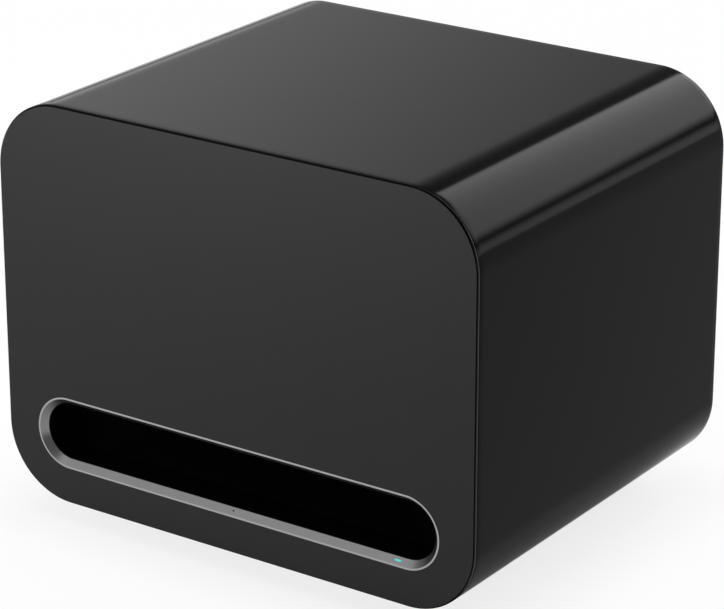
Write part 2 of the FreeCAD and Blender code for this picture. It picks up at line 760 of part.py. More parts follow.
def status_light_pipe():
    """Light bar cut flush with the tapered wall, with a foot over the light-emitting diode."""
    low = strip_board_z()[1]
    shown = light_bar().common(bezel_ring())
    under = SLOT_Z - SLOT_HALF_HEIGHT + BARREL_INSET
    hidden = light_bar().common(block(span(LIGHT_X, LIGHT_LENGTH), (FRONT_Y, BAFFLE_Y), (low, under)))
    depth = on_taper(LIGHT_SHARE)[0]
    foot = block(span(LIGHT_X, LIGHT_LENGTH / 2), (depth, strip_board_y()[0]),
                 (low + GLUE_LINE, under - TRIM_GAP))
    return shown.fuse([hidden, foot]).removeSplitter()


def status_led():
    low = strip_board_z()[1] - LED_HEIGHT
    front = strip_board_y()[0]
    return block(span(LIGHT_X, LED_LENGTH / 2), (front - LED_DEPTH, front), (low, low + LED_HEIGHT))


def microphone():
    high = strip_board_z()[1]
    front = strip_board_y()[0]
    return block(span(MIC_X, MIC_LENGTH / 2), (front - MIC_DEPTH, front), (high - MIC_HEIGHT, high))


def light_mic_board():
    return block(strip_board_x(), strip_board_y(), strip_board_z())


# Port duct

def port_screw_seats():
    """Seats on the inner face of the flange, along its two straight sides."""
    reach = SLOT_HALF_LENGTH - SLOT_HALF_HEIGHT
    rise = SLOT_HALF_HEIGHT - TUBE_INSET + PORT_FLANGE / 2
    return [
        Vector(share * reach, FUNNEL_Y, SLOT_Z + side * rise)
        for side in (-1, 1) for share in (-1, -1 / 3, 1 / 3, 1)
    ]


def flange_outline_prism(y0, y1):
    """Flange of the port, kept inside the walls of the cabinet."""
    whole = slot_prism(TUBE_INSET - PORT_FLANGE, y0, y1)
    return whole.common(cabinet_prism(WALL + TRIM_GAP, y0, y1))


def port_screw_holes():
    return [pilot(PORT_SCREW, seat, BACKWARD * -1) for seat in port_screw_seats()]


def port_screws():
    return together([screw(PORT_SCREW, seat, BACKWARD * -1) for seat in port_screw_seats()])


def duct(growth, place):
    return stadium(DUCT_HALF_LENGTH + growth, DUCT_HALF_HEIGHT + growth, place)


def port_mouth():
    """Straight mouth through the baffle, with a flange behind it."""
    outside = slot_prism(TUBE_INSET, BAFFLE_Y, FUNNEL_Y)
    outside = outside.fuse(flange_outline_prism(FLANGE_Y, FUNNEL_Y))
    return without(outside, [slot_prism(THROAT_INSET, BAFFLE_Y, FUNNEL_Y)] + port_screw_holes())


def port_funnel():
    """Funnel from the mouth down to the duct's size."""
    end = upright(FUNNEL_END_Y, SLOT_Z)
    outside = loft(slot_outline(TUBE_INSET, FUNNEL_Y), duct(PORT_WALL, end))
    return outside.cut(loft(slot_outline(THROAT_INSET, FUNNEL_Y), duct(0, end)))


def bend(place, axis_y, axis_z, direction):
    """Quarter turn of the duct about a level axis across the cabinet."""
    centre = Vector(0, axis_y, axis_z)
    outside = Part.Face(duct(PORT_WALL, place)).revolve(centre, direction, 90)
    inside = Part.Face(duct(0, place)).revolve(centre, direction, 90)
    return outside.cut(inside)


def port_bend_lower():
    return bend(upright(FUNNEL_END_Y, SLOT_Z), FUNNEL_END_Y, RISER_BOTTOM_Z, RIGHT)


def port_riser():
    place = level(RISER_Y, RISER_BOTTOM_Z)
    along = UP * (RISER_TOP_Z - RISER_BOTTOM_Z)
    return prism(duct(PORT_WALL, place), along).cut(prism(duct(0, place), along))


def port_bend_upper():
    return bend(level(RISER_Y, RISER_TOP_Z), OUTLET_Y, RISER_TOP_Z, RIGHT * -1)


def port_outlet():
    """Straight end of the duct under the lid, opening in a flare."""
    start = upright(OUTLET_Y, OUTLET_Z)
    flare = upright(OUTLET_Y + OUTLET_LENGTH, OUTLET_Z)
    end = upright(OUTLET_Y + OUTLET_LENGTH + FLARE_LENGTH, OUTLET_Z)
    along = BACKWARD * OUTLET_LENGTH
    outside = prism(duct(PORT_WALL, start), along)
    outside = outside.fuse(loft(duct(PORT_WALL, flare), duct(PORT_WALL + FLARE_GROWTH, end)))
    inside = prism(duct(0, start), along).fuse(loft(duct(0, flare), duct(FLARE_GROWTH, end)))
    return outside.cut(inside)


# Woofer

def driver_screw_places(z):
    return around_driver(SCREW_CIRCLE, SCREW_COUNT, z, math.pi / SCREW_COUNT)


def driver_screw_holes():
    return [pilot(WOOD_SCREW, place, UP) for place in driver_screw_places(DRIVER_Z)]


def driver_mounting_ring():
    """Ring on the inner side of the floor, cut flat where it meets the front and back boards."""
    ring = tube(RING_RADIUS, SKIRT_RADIUS + SKIRT_GAP, DRIVER_AXIS + UP * INNER_FLOOR_Z, UP, RING_THICKNESS)
    room = block(span(0, CABINET_WIDTH / 2 - WALL),
                 (BAFFLE_BACK_Y + GLUE_LINE, BACK_BOARD_INNER_Y - GLUE_LINE),
                 (INNER_FLOOR_Z, INNER_FLOOR_Z + RING_THICKNESS))
    return without(ring.common(room), driver_screw_holes())


def inner_gaskets():
    """Foam rings behind the port's flange and over the woofer's flange."""
    port_ring = flange_outline_prism(BAFFLE_BACK_Y, FLANGE_Y)
    port_hole = slot_prism(TUBE_HOLE_INSET, BAFFLE_BACK_Y, FLANGE_Y)
    port_ring = without(port_ring, [port_hole] + port_screw_holes())
    seat = DRIVER_AXIS + UP * (DRIVER_Z + FLANGE_THICKNESS)
    driver_ring = tube(DRIVER_RADIUS, SKIRT_RADIUS + SKIRT_GAP, seat, UP, DRIVER_GASKET)
    return together([port_ring, without(driver_ring, driver_screw_holes())])


def driver_screws():
    return together([screw(WOOD_SCREW, place, UP) for place in driver_screw_places(DRIVER_Z)])


def driver_frame():
    """Cast basket: flange, skirt, windowed cone, spider ledge and seat for the top plate."""
    inside = SKIRT_RADIUS - BASKET_WALL
    ledge_in = LEDGE_OUTER_RADIUS - BASKET_WALL
    neck_in = TOP_PLATE_RADIUS - BASKET_WALL
    seat_z = PLATE_Z - BASKET_WALL
    skirt_z = DRIVER_Z + SKIRT_HEIGHT
    basket = turned((
        (inside, DRIVER_Z),
        (DRIVER_RADIUS, DRIVER_Z),
        (DRIVER_RADIUS, DRIVER_Z + FLANGE_THICKNESS),
        (SKIRT_RADIUS, DRIVER_Z + FLANGE_THICKNESS),
        (SKIRT_RADIUS, skirt_z),
        (LEDGE_OUTER_RADIUS, LEDGE_Z),
        (LEDGE_OUTER_RADIUS, LUG_TOP_Z),
        (TOP_PLATE_RADIUS, LUG_TOP_Z),
        (TOP_PLATE_RADIUS, PLATE_Z),
        (PLATE_SEAT_INNER_RADIUS, PLATE_Z),
        (PLATE_SEAT_INNER_RADIUS, seat_z),
        (neck_in, seat_z),
        (neck_in, LUG_TOP_Z),
        (LEDGE_INNER_RADIUS, LUG_TOP_Z),
        (LEDGE_INNER_RADIUS, LEDGE_Z),
        (ledge_in, LEDGE_Z),
        (inside, skirt_z),
    ))
    lug = block((LEDGE_OUTER_RADIUS - BASKET_WALL, LUG_REACH), span(DRIVER_Y, LUG_WIDTH / 2),
                (LEDGE_Z, LUG_TOP_Z))
    windows = []
    for n in range(ARM_COUNT):
        window = block((ledge_in - BASKET_WALL, DRIVER_RADIUS), span(0, WINDOW_WIDTH / 2),
                       (skirt_z + BASKET_WALL, LEDGE_Z - BASKET_WALL))
        window.rotate(Vector(0, 0, 0), UP, 360 / ARM_COUNT * (n + 0.5))
        window.translate(DRIVER_AXIS)
        windows.append(window)
    return without(basket.fuse(lug), windows + driver_screw_holes())


def terminal_tab_x():
    return LUG_REACH - TERMINAL_INSET + TERMINAL_TAB


def driver_terminals():
    """Block on the basket's lug, with one blade above the other."""
    end = LUG_REACH - TERMINAL_INSET
    body = block((end - TERMINAL_LENGTH, end), span(DRIVER_Y, LUG_WIDTH / 2),
                 (LUG_TOP_Z, LUG_TOP_Z + TERMINAL_HEIGHT))
    blades = []
    for n in (0, 1):
        z = LUG_TOP_Z + TERMINAL_TAB_RISE + n * SPEAKER_LEAD_SPACING
        blades.append(block((end - TERMINAL_TAB, terminal_tab_x()), span(DRIVER_Y, TERMINAL_TAB_WIDTH / 2),
                            span(z, TERMINAL_TAB_THICKNESS / 2)))
    return body.fuse(blades)


def surround():
    """Half roll that bulges out of the cabinet, with a flat lip on the flange and one on the cone."""
    top = DRIVER_Z - GLUE_LINE
    bottom = top - SURROUND_THICKNESS
    middle = CONE_RADIUS + ROLL_RADIUS
    inner_roll = ROLL_RADIUS - SURROUND_THICKNESS
    foot = math.sqrt(ROLL_RADIUS ** 2 - SURROUND_THICKNESS ** 2)
    inner_lip = CONE_RADIUS - CONE_LAND
    outer_lip = middle + ROLL_RADIUS + SURROUND_LIP
    p = driver_point
    sides = (
        Part.LineSegment(p(inner_lip, top), p(middle - inner_roll, top)),
        Part.Arc(p(middle - inner_roll, top), p(middle, top - inner_roll), p(middle + inner_roll, top)),
        Part.LineSegment(p(middle + inner_roll, top), p(outer_lip, top)),
        Part.LineSegment(p(outer_lip, top), p(outer_lip, bottom)),
        Part.LineSegment(p(outer_lip, bottom), p(middle + foot, bottom)),
        Part.Arc(p(middle + foot, bottom), p(middle, top - ROLL_RADIUS), p(middle - foot, bottom)),
        Part.LineSegment(p(middle - foot, bottom), p(inner_lip, bottom)),
        Part.LineSegment(p(inner_lip, bottom), p(inner_lip, top)),
    )
    return turned_edges([side.toShape() for side in sides])


def cone_slope():
    """Rise of the cone's wall for each millimetre towards its neck."""
    return CONE_DEPTH / (CONE_RADIUS - CONE_LAND - FORMER_RADIUS)


def cone():
    """Straight-walled cone with a flat land at its rim and its neck on the former."""
    neck = FORMER_RADIUS + GLUE_LINE
    land = CONE_RADIUS - CONE_LAND
    slope = cone_slope()
    lift = CONE_THICKNESS * math.sqrt(1 + slope ** 2)
    knee = land + (lift - CONE_THICKNESS) / slope
    neck_z = DRIVER_Z + slope * (land - neck)
    return turned((
        (land, DRIVER_Z),
        (CONE_RADIUS, DRIVER_Z),
        (CONE_RADIUS, DRIVER_Z + CONE_THICKNESS),
        (knee, DRIVER_Z + CONE_THICKNESS),
        (neck, neck_z + lift),
        (neck, neck_z),
    ))


def dome_arc(rim_radius, rim_z, apex_z):
    """Arc from the apex on the axis out to the rim, on a sphere."""
    sag = rim_z - apex_z
    radius = (rim_radius ** 2 + sag ** 2) / (2 * sag)
    half = math.asin(rim_radius / radius) / 2
    middle = driver_point(radius * math.sin(half), apex_z + radius * (1 - math.cos(half)))
    return Part.Arc(driver_point(0, apex_z), middle, driver_point(rim_radius, rim_z)).toShape()


def dust_cap():
    rim_z = DRIVER_Z + cone_slope() * (CONE_RADIUS - CONE_LAND - CAP_RADIUS) - TRIM_GAP
    apex_z = rim_z - CAP_HEIGHT
    inner_rim = CAP_RADIUS - CAP_THICKNESS
    edges = [
        dome_arc(CAP_RADIUS, rim_z, apex_z),
        Part.LineSegment(driver_point(CAP_RADIUS, rim_z), driver_point(inner_rim, rim_z)).toShape(),
        dome_arc(inner_rim, rim_z, apex_z + CAP_THICKNESS),
        Part.LineSegment(driver_point(0, apex_z + CAP_THICKNESS), driver_point(0, apex_z)).toShape(),
    ]
    return turned_edges(Part.sortEdges(edges)[0])


def former_z():
    """Lower and upper end of the voice coil's former."""
    low = DRIVER_Z + CONE_DEPTH - GLUE_LINE
    return (low, low + FORMER_LENGTH)


def coil_former():
    low, high = former_z()
    return tube(FORMER_RADIUS, FORMER_RADIUS - FORMER_THICKNESS, DRIVER_AXIS + UP * low, UP, high - low)


def voice_coil():
    """Winding at the top end of the former, centred on the top plate."""
    inner = FORMER_RADIUS + GLUE_LINE / 2
    middle = PLATE_Z + TOP_PLATE_THICKNESS / 2
    low = middle - COIL_LENGTH / 2
    return tube(FORMER_RADIUS + COIL_THICKNESS, inner, DRIVER_AXIS + UP * low, UP, COIL_LENGTH)


def spider():
    """Corrugated disc between the former and the ledge of the basket."""
    inner = FORMER_RADIUS + GLUE_LINE
    first = inner + SPIDER_INNER_LIP
    middle = LEDGE_Z - GLUE_LINE - SPIDER_THICKNESS / 2
    steps = SPIDER_WAVES * SPIDER_WAVE_STEPS
    wave = []
    for n in range(steps + 1):
        r = first + (LEDGE_INNER_RADIUS - first) * n / steps
        wave.append((r, middle + SPIDER_WAVE_HEIGHT * math.sin(2 * math.pi * SPIDER_WAVES * n / steps)))
    line = [(inner, middle)] + wave + [(SPIDER_RADIUS, middle)]
    half = SPIDER_THICKNESS / 2
    lower = [(r, z - half) for r, z in line]
    upper = [(r, z + half) for r, z in reversed(line)]
    return turned(lower + upper)


def top_plate():
    bore = FORMER_RADIUS + COIL_THICKNESS + COIL_GAP
    return tube(TOP_PLATE_RADIUS, bore, DRIVER_AXIS + UP * PLATE_Z, UP, TOP_PLATE_THICKNESS)


def magnet():
    rings = []
    for n in range(MAGNET_COUNT):
        foot = DRIVER_AXIS + UP * (MAGNET_Z + n * MAGNET_THICKNESS)
        rings.append(tube(MAGNET_RADIUS, MAGNET_BORE_RADIUS, foot, UP, MAGNET_THICKNESS))
    return together(rings)


def pole_yoke():
    """Back plate and centre pole in one, with a vent through both."""
    pole = FORMER_RADIUS - FORMER_THICKNESS - COIL_GAP
    foot = DRIVER_AXIS + UP * PLATE_Z
    height = YOKE_Z + YOKE_THICKNESS - PLATE_Z
    body = rod(pole, foot, UP, height).fuse(rod(YOKE_RADIUS, DRIVER_AXIS + UP * YOKE_Z, UP, YOKE_THICKNESS))
    return body.cut(rod(VENT_RADIUS, foot, UP, height))


def speaker_leads():
    points = speaker_lead_points()
    shift = UP * SPEAKER_LEAD_SPACING
    lower = lead("speaker lead, lower", points, SPEAKER_LEAD)
    upper = lead("speaker lead, upper", [point + shift for point in points], SPEAKER_LEAD)
    return together([lower, upper])


# Amplifier

def amp_outline(inset, y):
    return rounded_outline(AMP_WIDTH / 2 - inset, AMP_HEIGHT / 2 - inset, AMP_CORNER_RADIUS, AMP_Z, y)


def amp_cut(y0, y1):
    """Opening in the back board behind the amplifier's plate."""
    return block(span(0, AMP_CUT_HALF_WIDTH), (y0, y1), span(AMP_Z, AMP_CUT_HALF_HEIGHT))


def amp_screw_seats():
    """Seats round the border of the plate: the corners and the middle of each side."""
    x = AMP_WIDTH / 2 - AMP_BORDER / 2
    z = AMP_HEIGHT / 2 - AMP_BORDER / 2
    return [
        Vector(side * x, AMP_OUTER_Y, AMP_Z + rise * z)
        for side in (-1, 0, 1) for rise in (-1, 0, 1) if side or rise
    ]


def amp_screw_holes():
    return [pilot(PLATE_SCREW, seat, BACKWARD * -1) for seat in amp_screw_seats()]


def cover_screw_seats():
    """Seats on the inner side of the cover's flange, two along each side."""
    y = BACK_BOARD_INNER_Y - COVER_FLANGE_THICKNESS
    x = cover_half_width() + COVER_FLANGE / 2
    z = cover_half_height() + COVER_FLANGE / 2
    seats = []
    for left in (-1, 1):
        for low in (-1, 1):
            seats.append(Vector(left * x, y, AMP_Z + low * COVER_SCREW_Z))
            seats.append(Vector(left * COVER_SCREW_X, y, AMP_Z + low * z))
    return seats


def cover_screw_holes():
    return [pilot(COVER_SCREW, seat, BACKWARD) for seat in cover_screw_seats()]


def back_panel():
    board = cabinet_prism(WALL + GLUE_LINE, BACK_BOARD_INNER_Y, BACK_BOARD_OUTER_Y)
    rebate_y = BACK_BOARD_OUTER_Y - AMP_REBATE
    rebate = prism(amp_outline(-TRIM_GAP, rebate_y), BACKWARD * AMP_REBATE)
    cuts = [rebate, amp_cut(BACK_BOARD_INNER_Y, rebate_y)]
    return without(board, cuts + amp_screw_holes() + cover_screw_holes())


def amp_gasket():
    y = AMP_INNER_Y - AMP_GASKET
    ring = prism(amp_outline(0, y), BACKWARD * AMP_GASKET)
    return without(ring, [amp_cut(y, AMP_INNER_Y)] + amp_screw_holes())


def inlet_prism(growth, y0, y1):
    outline = stadium(INLET_HALF_LENGTH + growth, INLET_HALF_HEIGHT + growth, upright(y0, TRAY_Z, INLET_X))
    return prism(outline, Vector(0, y1 - y0, 0))


def tray_rod(x, radius, y0, y1):
    return rod(radius, Vector(x, y0, TRAY_Z), BACKWARD, y1 - y0)


def amp_plate():
    """Cast plate with cooling grooves and a sunk tray for the sockets and the button."""
    plate = prism(amp_outline(0, AMP_INNER_Y), BACKWARD * AMP_PLATE)
    half_width = TRAY_HALF_WIDTH + TRAY_WALL
    half_height = TRAY_HALF_HEIGHT + TRAY_WALL
    tray = block(span(0, half_width), (TRAY_INNER_Y, AMP_INNER_Y), span(TRAY_Z, half_height))
    cavity = block(span(0, TRAY_HALF_WIDTH), (TRAY_FLOOR_Y, AMP_OUTER_Y), span(TRAY_Z, TRAY_HALF_HEIGHT))
    grooves = []
    for n in range(FIN_GROOVE_COUNT):
        x = (n - (FIN_GROOVE_COUNT - 1) / 2) * FIN_GROOVE_PITCH
        grooves.append(block(span(x, FIN_GROOVE_WIDTH / 2), (AMP_OUTER_Y - FIN_GROOVE_DEPTH, AMP_OUTER_Y),
                             span(AMP_Z + FIN_GROOVE_RISE, FIN_GROOVE_HEIGHT / 2)))
    holes = [
        inlet_prism(INLET_WALL + SHANK_GAP, TRAY_INNER_Y, TRAY_FLOOR_Y),
        tray_rod(JACK_LEFT_X, jack_tail_radius() + SHANK_GAP, TRAY_INNER_Y, TRAY_FLOOR_Y),
        tray_rod(JACK_RIGHT_X, jack_tail_radius() + SHANK_GAP, TRAY_INNER_Y, TRAY_FLOOR_Y),
        tray_rod(BUTTON_X, BUTTON_RADIUS + TRIM_GAP, TRAY_INNER_Y, TRAY_FLOOR_Y),
    ]
    return without(plate.fuse(tray), [cavity] + grooves + holes + amp_screw_holes())


def amp_screws():
    return together([screw(PLATE_SCREW, seat, BACKWARD * -1) for seat in amp_screw_seats()])


def inlet_floor_y():
    return TRAY_FLOOR_Y + INLET_FLANGE_THICKNESS - INLET_DEPTH


def inlet_pin_places():
    return [INLET_X - PIN_SPACING / 2, INLET_X + PIN_SPACING / 2]


def mains_inlet():
    """Two-pole appliance inlet: a flange in the tray and a deep cavity with rounded ends."""
    rear = BOARD_BACK_Y + TRIM_GAP
    body = inlet_prism(INLET_WALL, rear, TRAY_FLOOR_Y)
    flange = inlet_prism(INLET_FLANGE, TRAY_FLOOR_Y, TRAY_FLOOR_Y + INLET_FLANGE_THICKNESS)
    cavity = inlet_prism(0, inlet_floor_y(), TRAY_FLOOR_Y + INLET_FLANGE_THICKNESS)
    seats = [tray_rod(x, PIN_RADIUS + GLUE_LINE / 2, rear, inlet_floor_y()) for x in inlet_pin_places()]
    return without(body.fuse(flange), [cavity] + seats)


def inlet_pins():
    rear = BOARD_BACK_Y + TRIM_GAP
    return together([
        tray_rod(x, PIN_RADIUS, rear, inlet_floor_y() + PIN_LENGTH) for x in inlet_pin_places()
    ])


def jack_tail_radius():
    return JACK_RADIUS - JACK_SHOULDER


def line_jack_shells():
    """Metal sleeves of the two line input jacks, with a slimmer tail through the tray's floor."""
    sleeves = []
    front = TRAY_FLOOR_Y + JACK_LENGTH
    tail = TRAY_FLOOR_Y - JACK_TAIL
    for x in (JACK_LEFT_X, JACK_RIGHT_X):
        outside = tray_rod(x, JACK_RADIUS, TRAY_FLOOR_Y, front)
        outside = outside.fuse(tray_rod(x, jack_tail_radius(), tail, TRAY_FLOOR_Y))
        sleeves.append(outside.cut(tray_rod(x, JACK_RADIUS - JACK_SHELL, tail, front)))
    return together(sleeves)


def line_jack_inserts():
    """Insulator inside each sleeve and the block behind it, with the hole for a plug's pin."""
    solids = []
    front = TRAY_FLOOR_Y + JACK_LENGTH - JACK_CORE_SUNK
    tail = TRAY_FLOOR_Y - JACK_TAIL
    for x in (JACK_LEFT_X, JACK_RIGHT_X):
        core = tray_rod(x, JACK_RADIUS - JACK_SHELL - GLUE_LINE / 2, tail, front)
        rear = block(span(x, JACK_BLOCK_WIDTH / 2), (BOARD_BACK_Y + GLUE_LINE, tail),
                     span(TRAY_Z, JACK_BLOCK_WIDTH / 2))
        hole = tray_rod(x, JACK_CONTACT_RADIUS, front - JACK_CONTACT_DEPTH, front)
        solids.append(core.fuse(rear).cut(hole))
    return together(solids)


def plunger_top_y():
    return BOARD_BACK_Y + SWITCH_HEIGHT + PLUNGER_PROUD


def pair_button():
    """Round cap through the tray's floor, a flange that keeps it in, and a stem to the switch."""
    flange_y = TRAY_INNER_Y - RUNNING_GAP - BUTTON_FLANGE
    cap = tray_rod(BUTTON_X, BUTTON_RADIUS, flange_y, TRAY_FLOOR_Y + BUTTON_PROUD)
    flange = tray_rod(BUTTON_X, BUTTON_FLANGE_RADIUS, flange_y, flange_y + BUTTON_FLANGE)
    stem = tray_rod(BUTTON_X, BUTTON_STEM_RADIUS, plunger_top_y() + GLUE_LINE / 2, flange_y)
    return cap.fuse([flange, stem])


def switch_plunger():
    low = BOARD_BACK_Y + SWITCH_HEIGHT - 2 * BUTTON_TRAVEL
    return tray_rod(BUTTON_X, PLUNGER_RADIUS, low, plunger_top_y())


def pair_switch():
    """Push switch on the board, with a well that its plunger sinks into."""
    body = block(span(BUTTON_X, SWITCH_WIDTH / 2), (BOARD_BACK_Y, BOARD_BACK_Y + SWITCH_HEIGHT),
                 span(TRAY_Z, SWITCH_WIDTH / 2))
    floor = BOARD_BACK_Y + SWITCH_HEIGHT - 3 * BUTTON_TRAVEL - TRIM_GAP
    well = tray_rod(BUTTON_X, PLUNGER_RADIUS + RUNNING_GAP, floor, BOARD_BACK_Y + SWITCH_HEIGHT)
    return body.cut(well)


def board_corners():
    x = BOARD_HALF_WIDTH - BOARD_INSET
    z = BOARD_HALF_HEIGHT - BOARD_INSET
    return [(side * x, AMP_Z + rise * z) for side in (-1, 1) for rise in (-1, 1)]


def amp_board():
    board = block(span(0, BOARD_HALF_WIDTH), (BOARD_FRONT_Y, BOARD_BACK_Y), span(AMP_Z, BOARD_HALF_HEIGHT))
    holes = [
        rod(POST_STUB_RADIUS + SHANK_GAP, Vector(x, BOARD_FRONT_Y, z), BACKWARD, BOARD_THICKNESS)
        for x, z in board_corners()
    ]
    return without(board, holes)


def board_standoffs():
    """Snap-in posts from the plate, whose heads hold the board."""
    posts = []
    for x, z in board_corners():
        pillar = rod(POST_RADIUS, Vector(x, BOARD_BACK_Y, z), BACKWARD, BOARD_DEPTH)
        stub = rod(POST_STUB_RADIUS, Vector(x, BOARD_FRONT_Y, z), BACKWARD, BOARD_THICKNESS)
        head = rod(POST_HEAD_RADIUS, Vector(x, BOARD_FRONT_Y - POST_HEAD, z), BACKWARD, POST_HEAD)
        posts.append(pillar.fuse([stub, head]))
    return together(posts)


def on_board(x, rise, width, height, depth, lift=0.0):
    """Block on the front face of the amplifier board."""
    back = BOARD_FRONT_Y - lift
    return block(span(x, width / 2), (back - depth, back), span(AMP_Z + rise, height / 2))


def power_transformer():
    """Square core with two windows, and the winding on its middle leg."""
    core = on_board(TRANSFORMER_X, TRANSFORMER_RISE, TRANSFORMER_WIDTH, TRANSFORMER_HEIGHT,
                    TRANSFORMER_DEPTH)
    window_half = (TRANSFORMER_HEIGHT - 2 * TRANSFORMER_LEG) / 2
    z = AMP_Z + TRANSFORMER_RISE
    opening = block(span(TRANSFORMER_X, TRANSFORMER_WIDTH / 2 - TRANSFORMER_LEG),
                    (BOARD_FRONT_Y - TRANSFORMER_DEPTH, BOARD_FRONT_Y), span(z, window_half))
    reel = rod((TRANSFORMER_DEPTH - TRIM_GAP) / 2,
               Vector(TRANSFORMER_X, BOARD_FRONT_Y - TRANSFORMER_DEPTH / 2, z - window_half + GLUE_LINE),
               UP, 2 * (window_half - GLUE_LINE))
    return together([core.cut(opening), reel])


def bulk_capacitors():
    top_y = BOARD_FRONT_Y - CAPACITOR_LENGTH
    middle = AMP_Z + CAPACITOR_RISE
    cans = []
    for side in (-1, 1):
        end = Vector(CAPACITOR_X, top_y, middle + side * CAPACITOR_SPACING / 2)
        cans.append(rod(CAPACITOR_RADIUS, end, BACKWARD, CAPACITOR_LENGTH))
    return together(cans)


def output_inductors():
    """Ring cores that lie flat on the board."""
    top_y = BOARD_FRONT_Y - INDUCTOR_HEIGHT
    middle = AMP_Z + INDUCTOR_RISE
    cores = []
    for side in (-1, 1):
        end = Vector(INDUCTOR_X, top_y, middle + side * INDUCTOR_SPACING / 2)
        cores.append(tube(INDUCTOR_RADIUS, INDUCTOR_HOLE, end, BACKWARD, INDUCTOR_HEIGHT))
    return together(cores)


def amp_chips():
    """Output stage packages between the board and the heat sink."""
    middle = sum(SINK_Z) / 2
    return together([
        block(span(side * CHIP_SPACING / 2, CHIP_WIDTH / 2), (BOARD_BACK_Y, BOARD_BACK_Y + CHIP_THICKNESS),
              span(middle, CHIP_WIDTH / 2))
        for side in (-1, 1)
    ])


def heat_sink():
    """Base on the chips, with fins that reach the plate."""
    base_y = BOARD_BACK_Y + CHIP_THICKNESS + GLUE_LINE
    body = block(span(0, SINK_HALF_WIDTH), (base_y, base_y + SINK_BASE), SINK_Z)
    fins = []
    pitch = (2 * SINK_HALF_WIDTH - SINK_FIN) / (SINK_FIN_COUNT - 1)
    for n in range(SINK_FIN_COUNT):
        x = n * pitch - SINK_HALF_WIDTH
        fins.append(block((x, x + SINK_FIN), (base_y + SINK_BASE, AMP_INNER_Y - GLUE_LINE), SINK_Z))
    return body.fuse(fins)


def board_connectors():
    """Sockets on the board for the speaker leads and for the front lead."""
    speaker = on_board(SPEAKER_ENTRY_X, SPEAKER_ENTRY_RISE + SPEAKER_LEAD_SPACING / 2,
                       CONNECTOR_WIDTH, CONNECTOR_WIDTH, CONNECTOR_DEPTH)
    front = block((BOARD_HALF_WIDTH - CONNECTOR_WIDTH, BOARD_HALF_WIDTH),
                  (FRONT_ENTRY_Y - FRONT_LEAD, BOARD_FRONT_Y),
                  span(FRONT_ENTRY_Z, CONNECTOR_WIDTH / 2))
    return together([speaker, front])


def wireless_module():
    """Small radio board with a shield can."""
    board = on_board(MODULE_X, MODULE_RISE, MODULE_WIDTH, MODULE_HEIGHT, STRIP_BOARD, GLUE_LINE)
    can = on_board(MODULE_X, MODULE_RISE, MODULE_WIDTH - 2 * MODULE_MARGIN,
                   MODULE_HEIGHT - 2 * MODULE_MARGIN, MODULE_CAN, STRIP_BOARD + GLUE_LINE)
    return board.fuse(can)


def antennas():
    """Flat aerials on the inner side walls of the cover."""
    wall_x = cover_half_width() - COVER_WALL - GLUE_LINE
    y = (COVER_Y + COVER_WALL + TRIM_GAP, COVER_Y + COVER_WALL + TRIM_GAP + ANTENNA_WIDTH)
    z = span(AMP_Z + ANTENNA_RISE, ANTENNA_LENGTH / 2)
    left = block((-wall_x, ANTENNA_THICKNESS - wall_x), y, z)
    right = block((wall_x - ANTENNA_THICKNESS, wall_x), y, z)
    return together([left, right])


def cover_half_width():
    return AMP_CUT_HALF_WIDTH + COVER_GAP + COVER_WALL


def cover_half_height():
    return AMP_CUT_HALF_HEIGHT + COVER_GAP + COVER_WALL


def speaker_entry():
    middle = SPEAKER_ENTRY_Z + SPEAKER_LEAD_SPACING / 2
    return Vector(SPEAKER_ENTRY_X, COVER_Y + COVER_WALL / 2, middle)


def front_entry():
    return Vector(cover_half_width() - COVER_WALL / 2, FRONT_ENTRY_Y, FRONT_ENTRY_Z)


def amp_cover():
    """Box over the amplifier, open to the back, with a flange on the back board."""
    half_width = cover_half_width()
    half_height = cover_half_height()
    flange_y = BACK_BOARD_INNER_Y - COVER_FLANGE_THICKNESS
    body = block(span(0, half_width), (COVER_Y, BACK_BOARD_INNER_Y), span(AMP_Z, half_height))
    flange = block(span(0, half_width + COVER_FLANGE), (flange_y, BACK_BOARD_INNER_Y),
                   span(AMP_Z, half_height + COVER_FLANGE))
    cavity = block(span(0, half_width - COVER_WALL), (COVER_Y + COVER_WALL, BACK_BOARD_INNER_Y),
                   span(AMP_Z, half_height - COVER_WALL))
    neck = GROMMET_RADIUS - GROMMET_NECK + SHANK_GAP
    holes = [
        rod(neck, speaker_entry() - BACKWARD * COVER_WALL, BACKWARD, 2 * COVER_WALL),
        rod(neck, front_entry() - RIGHT * COVER_WALL, RIGHT, 2 * COVER_WALL),
    ]
    return without(body.fuse(flange), [cavity] + holes + cover_screw_holes())


def cover_screws():
    return together([screw(COVER_SCREW, seat, BACKWARD) for seat in cover_screw_seats()])


def grommet(middle, direction, bores):
    """Rubber bush with a lip on each side of the cover's wall."""
    half_neck = COVER_WALL / 2 + GLUE_LINE
    lips = [
        rod(GROMMET_RADIUS, middle + direction * half_neck, direction, GROMMET_LIP),
        rod(GROMMET_RADIUS, middle - direction * half_neck, direction * -1, GROMMET_LIP),
    ]
    reach = half_neck + GROMMET_LIP
    neck = rod(GROMMET_RADIUS - GROMMET_NECK, middle - direction * half_neck, direction, 2 * half_neck)
    holes = [
        rod(radius + SHANK_GAP, place - direction * reach, direction, 2 * reach)
        for place, radius in bores
    ]
    return without(neck.fuse(lips), holes)


def lead_grommets():
    middle = speaker_entry()
    half = UP * (SPEAKER_LEAD_SPACING / 2)
    bores = [(middle - half, SPEAKER_LEAD / 2), (middle + half, SPEAKER_LEAD / 2)]
    speaker = grommet(middle, BACKWARD, bores)
    front = grommet(front_entry(), RIGHT, [(front_entry(), FRONT_LEAD / 2)])
    return together([speaker, front])


def front_lead():
    return lead("front lead", front_lead_points(), FRONT_LEAD)


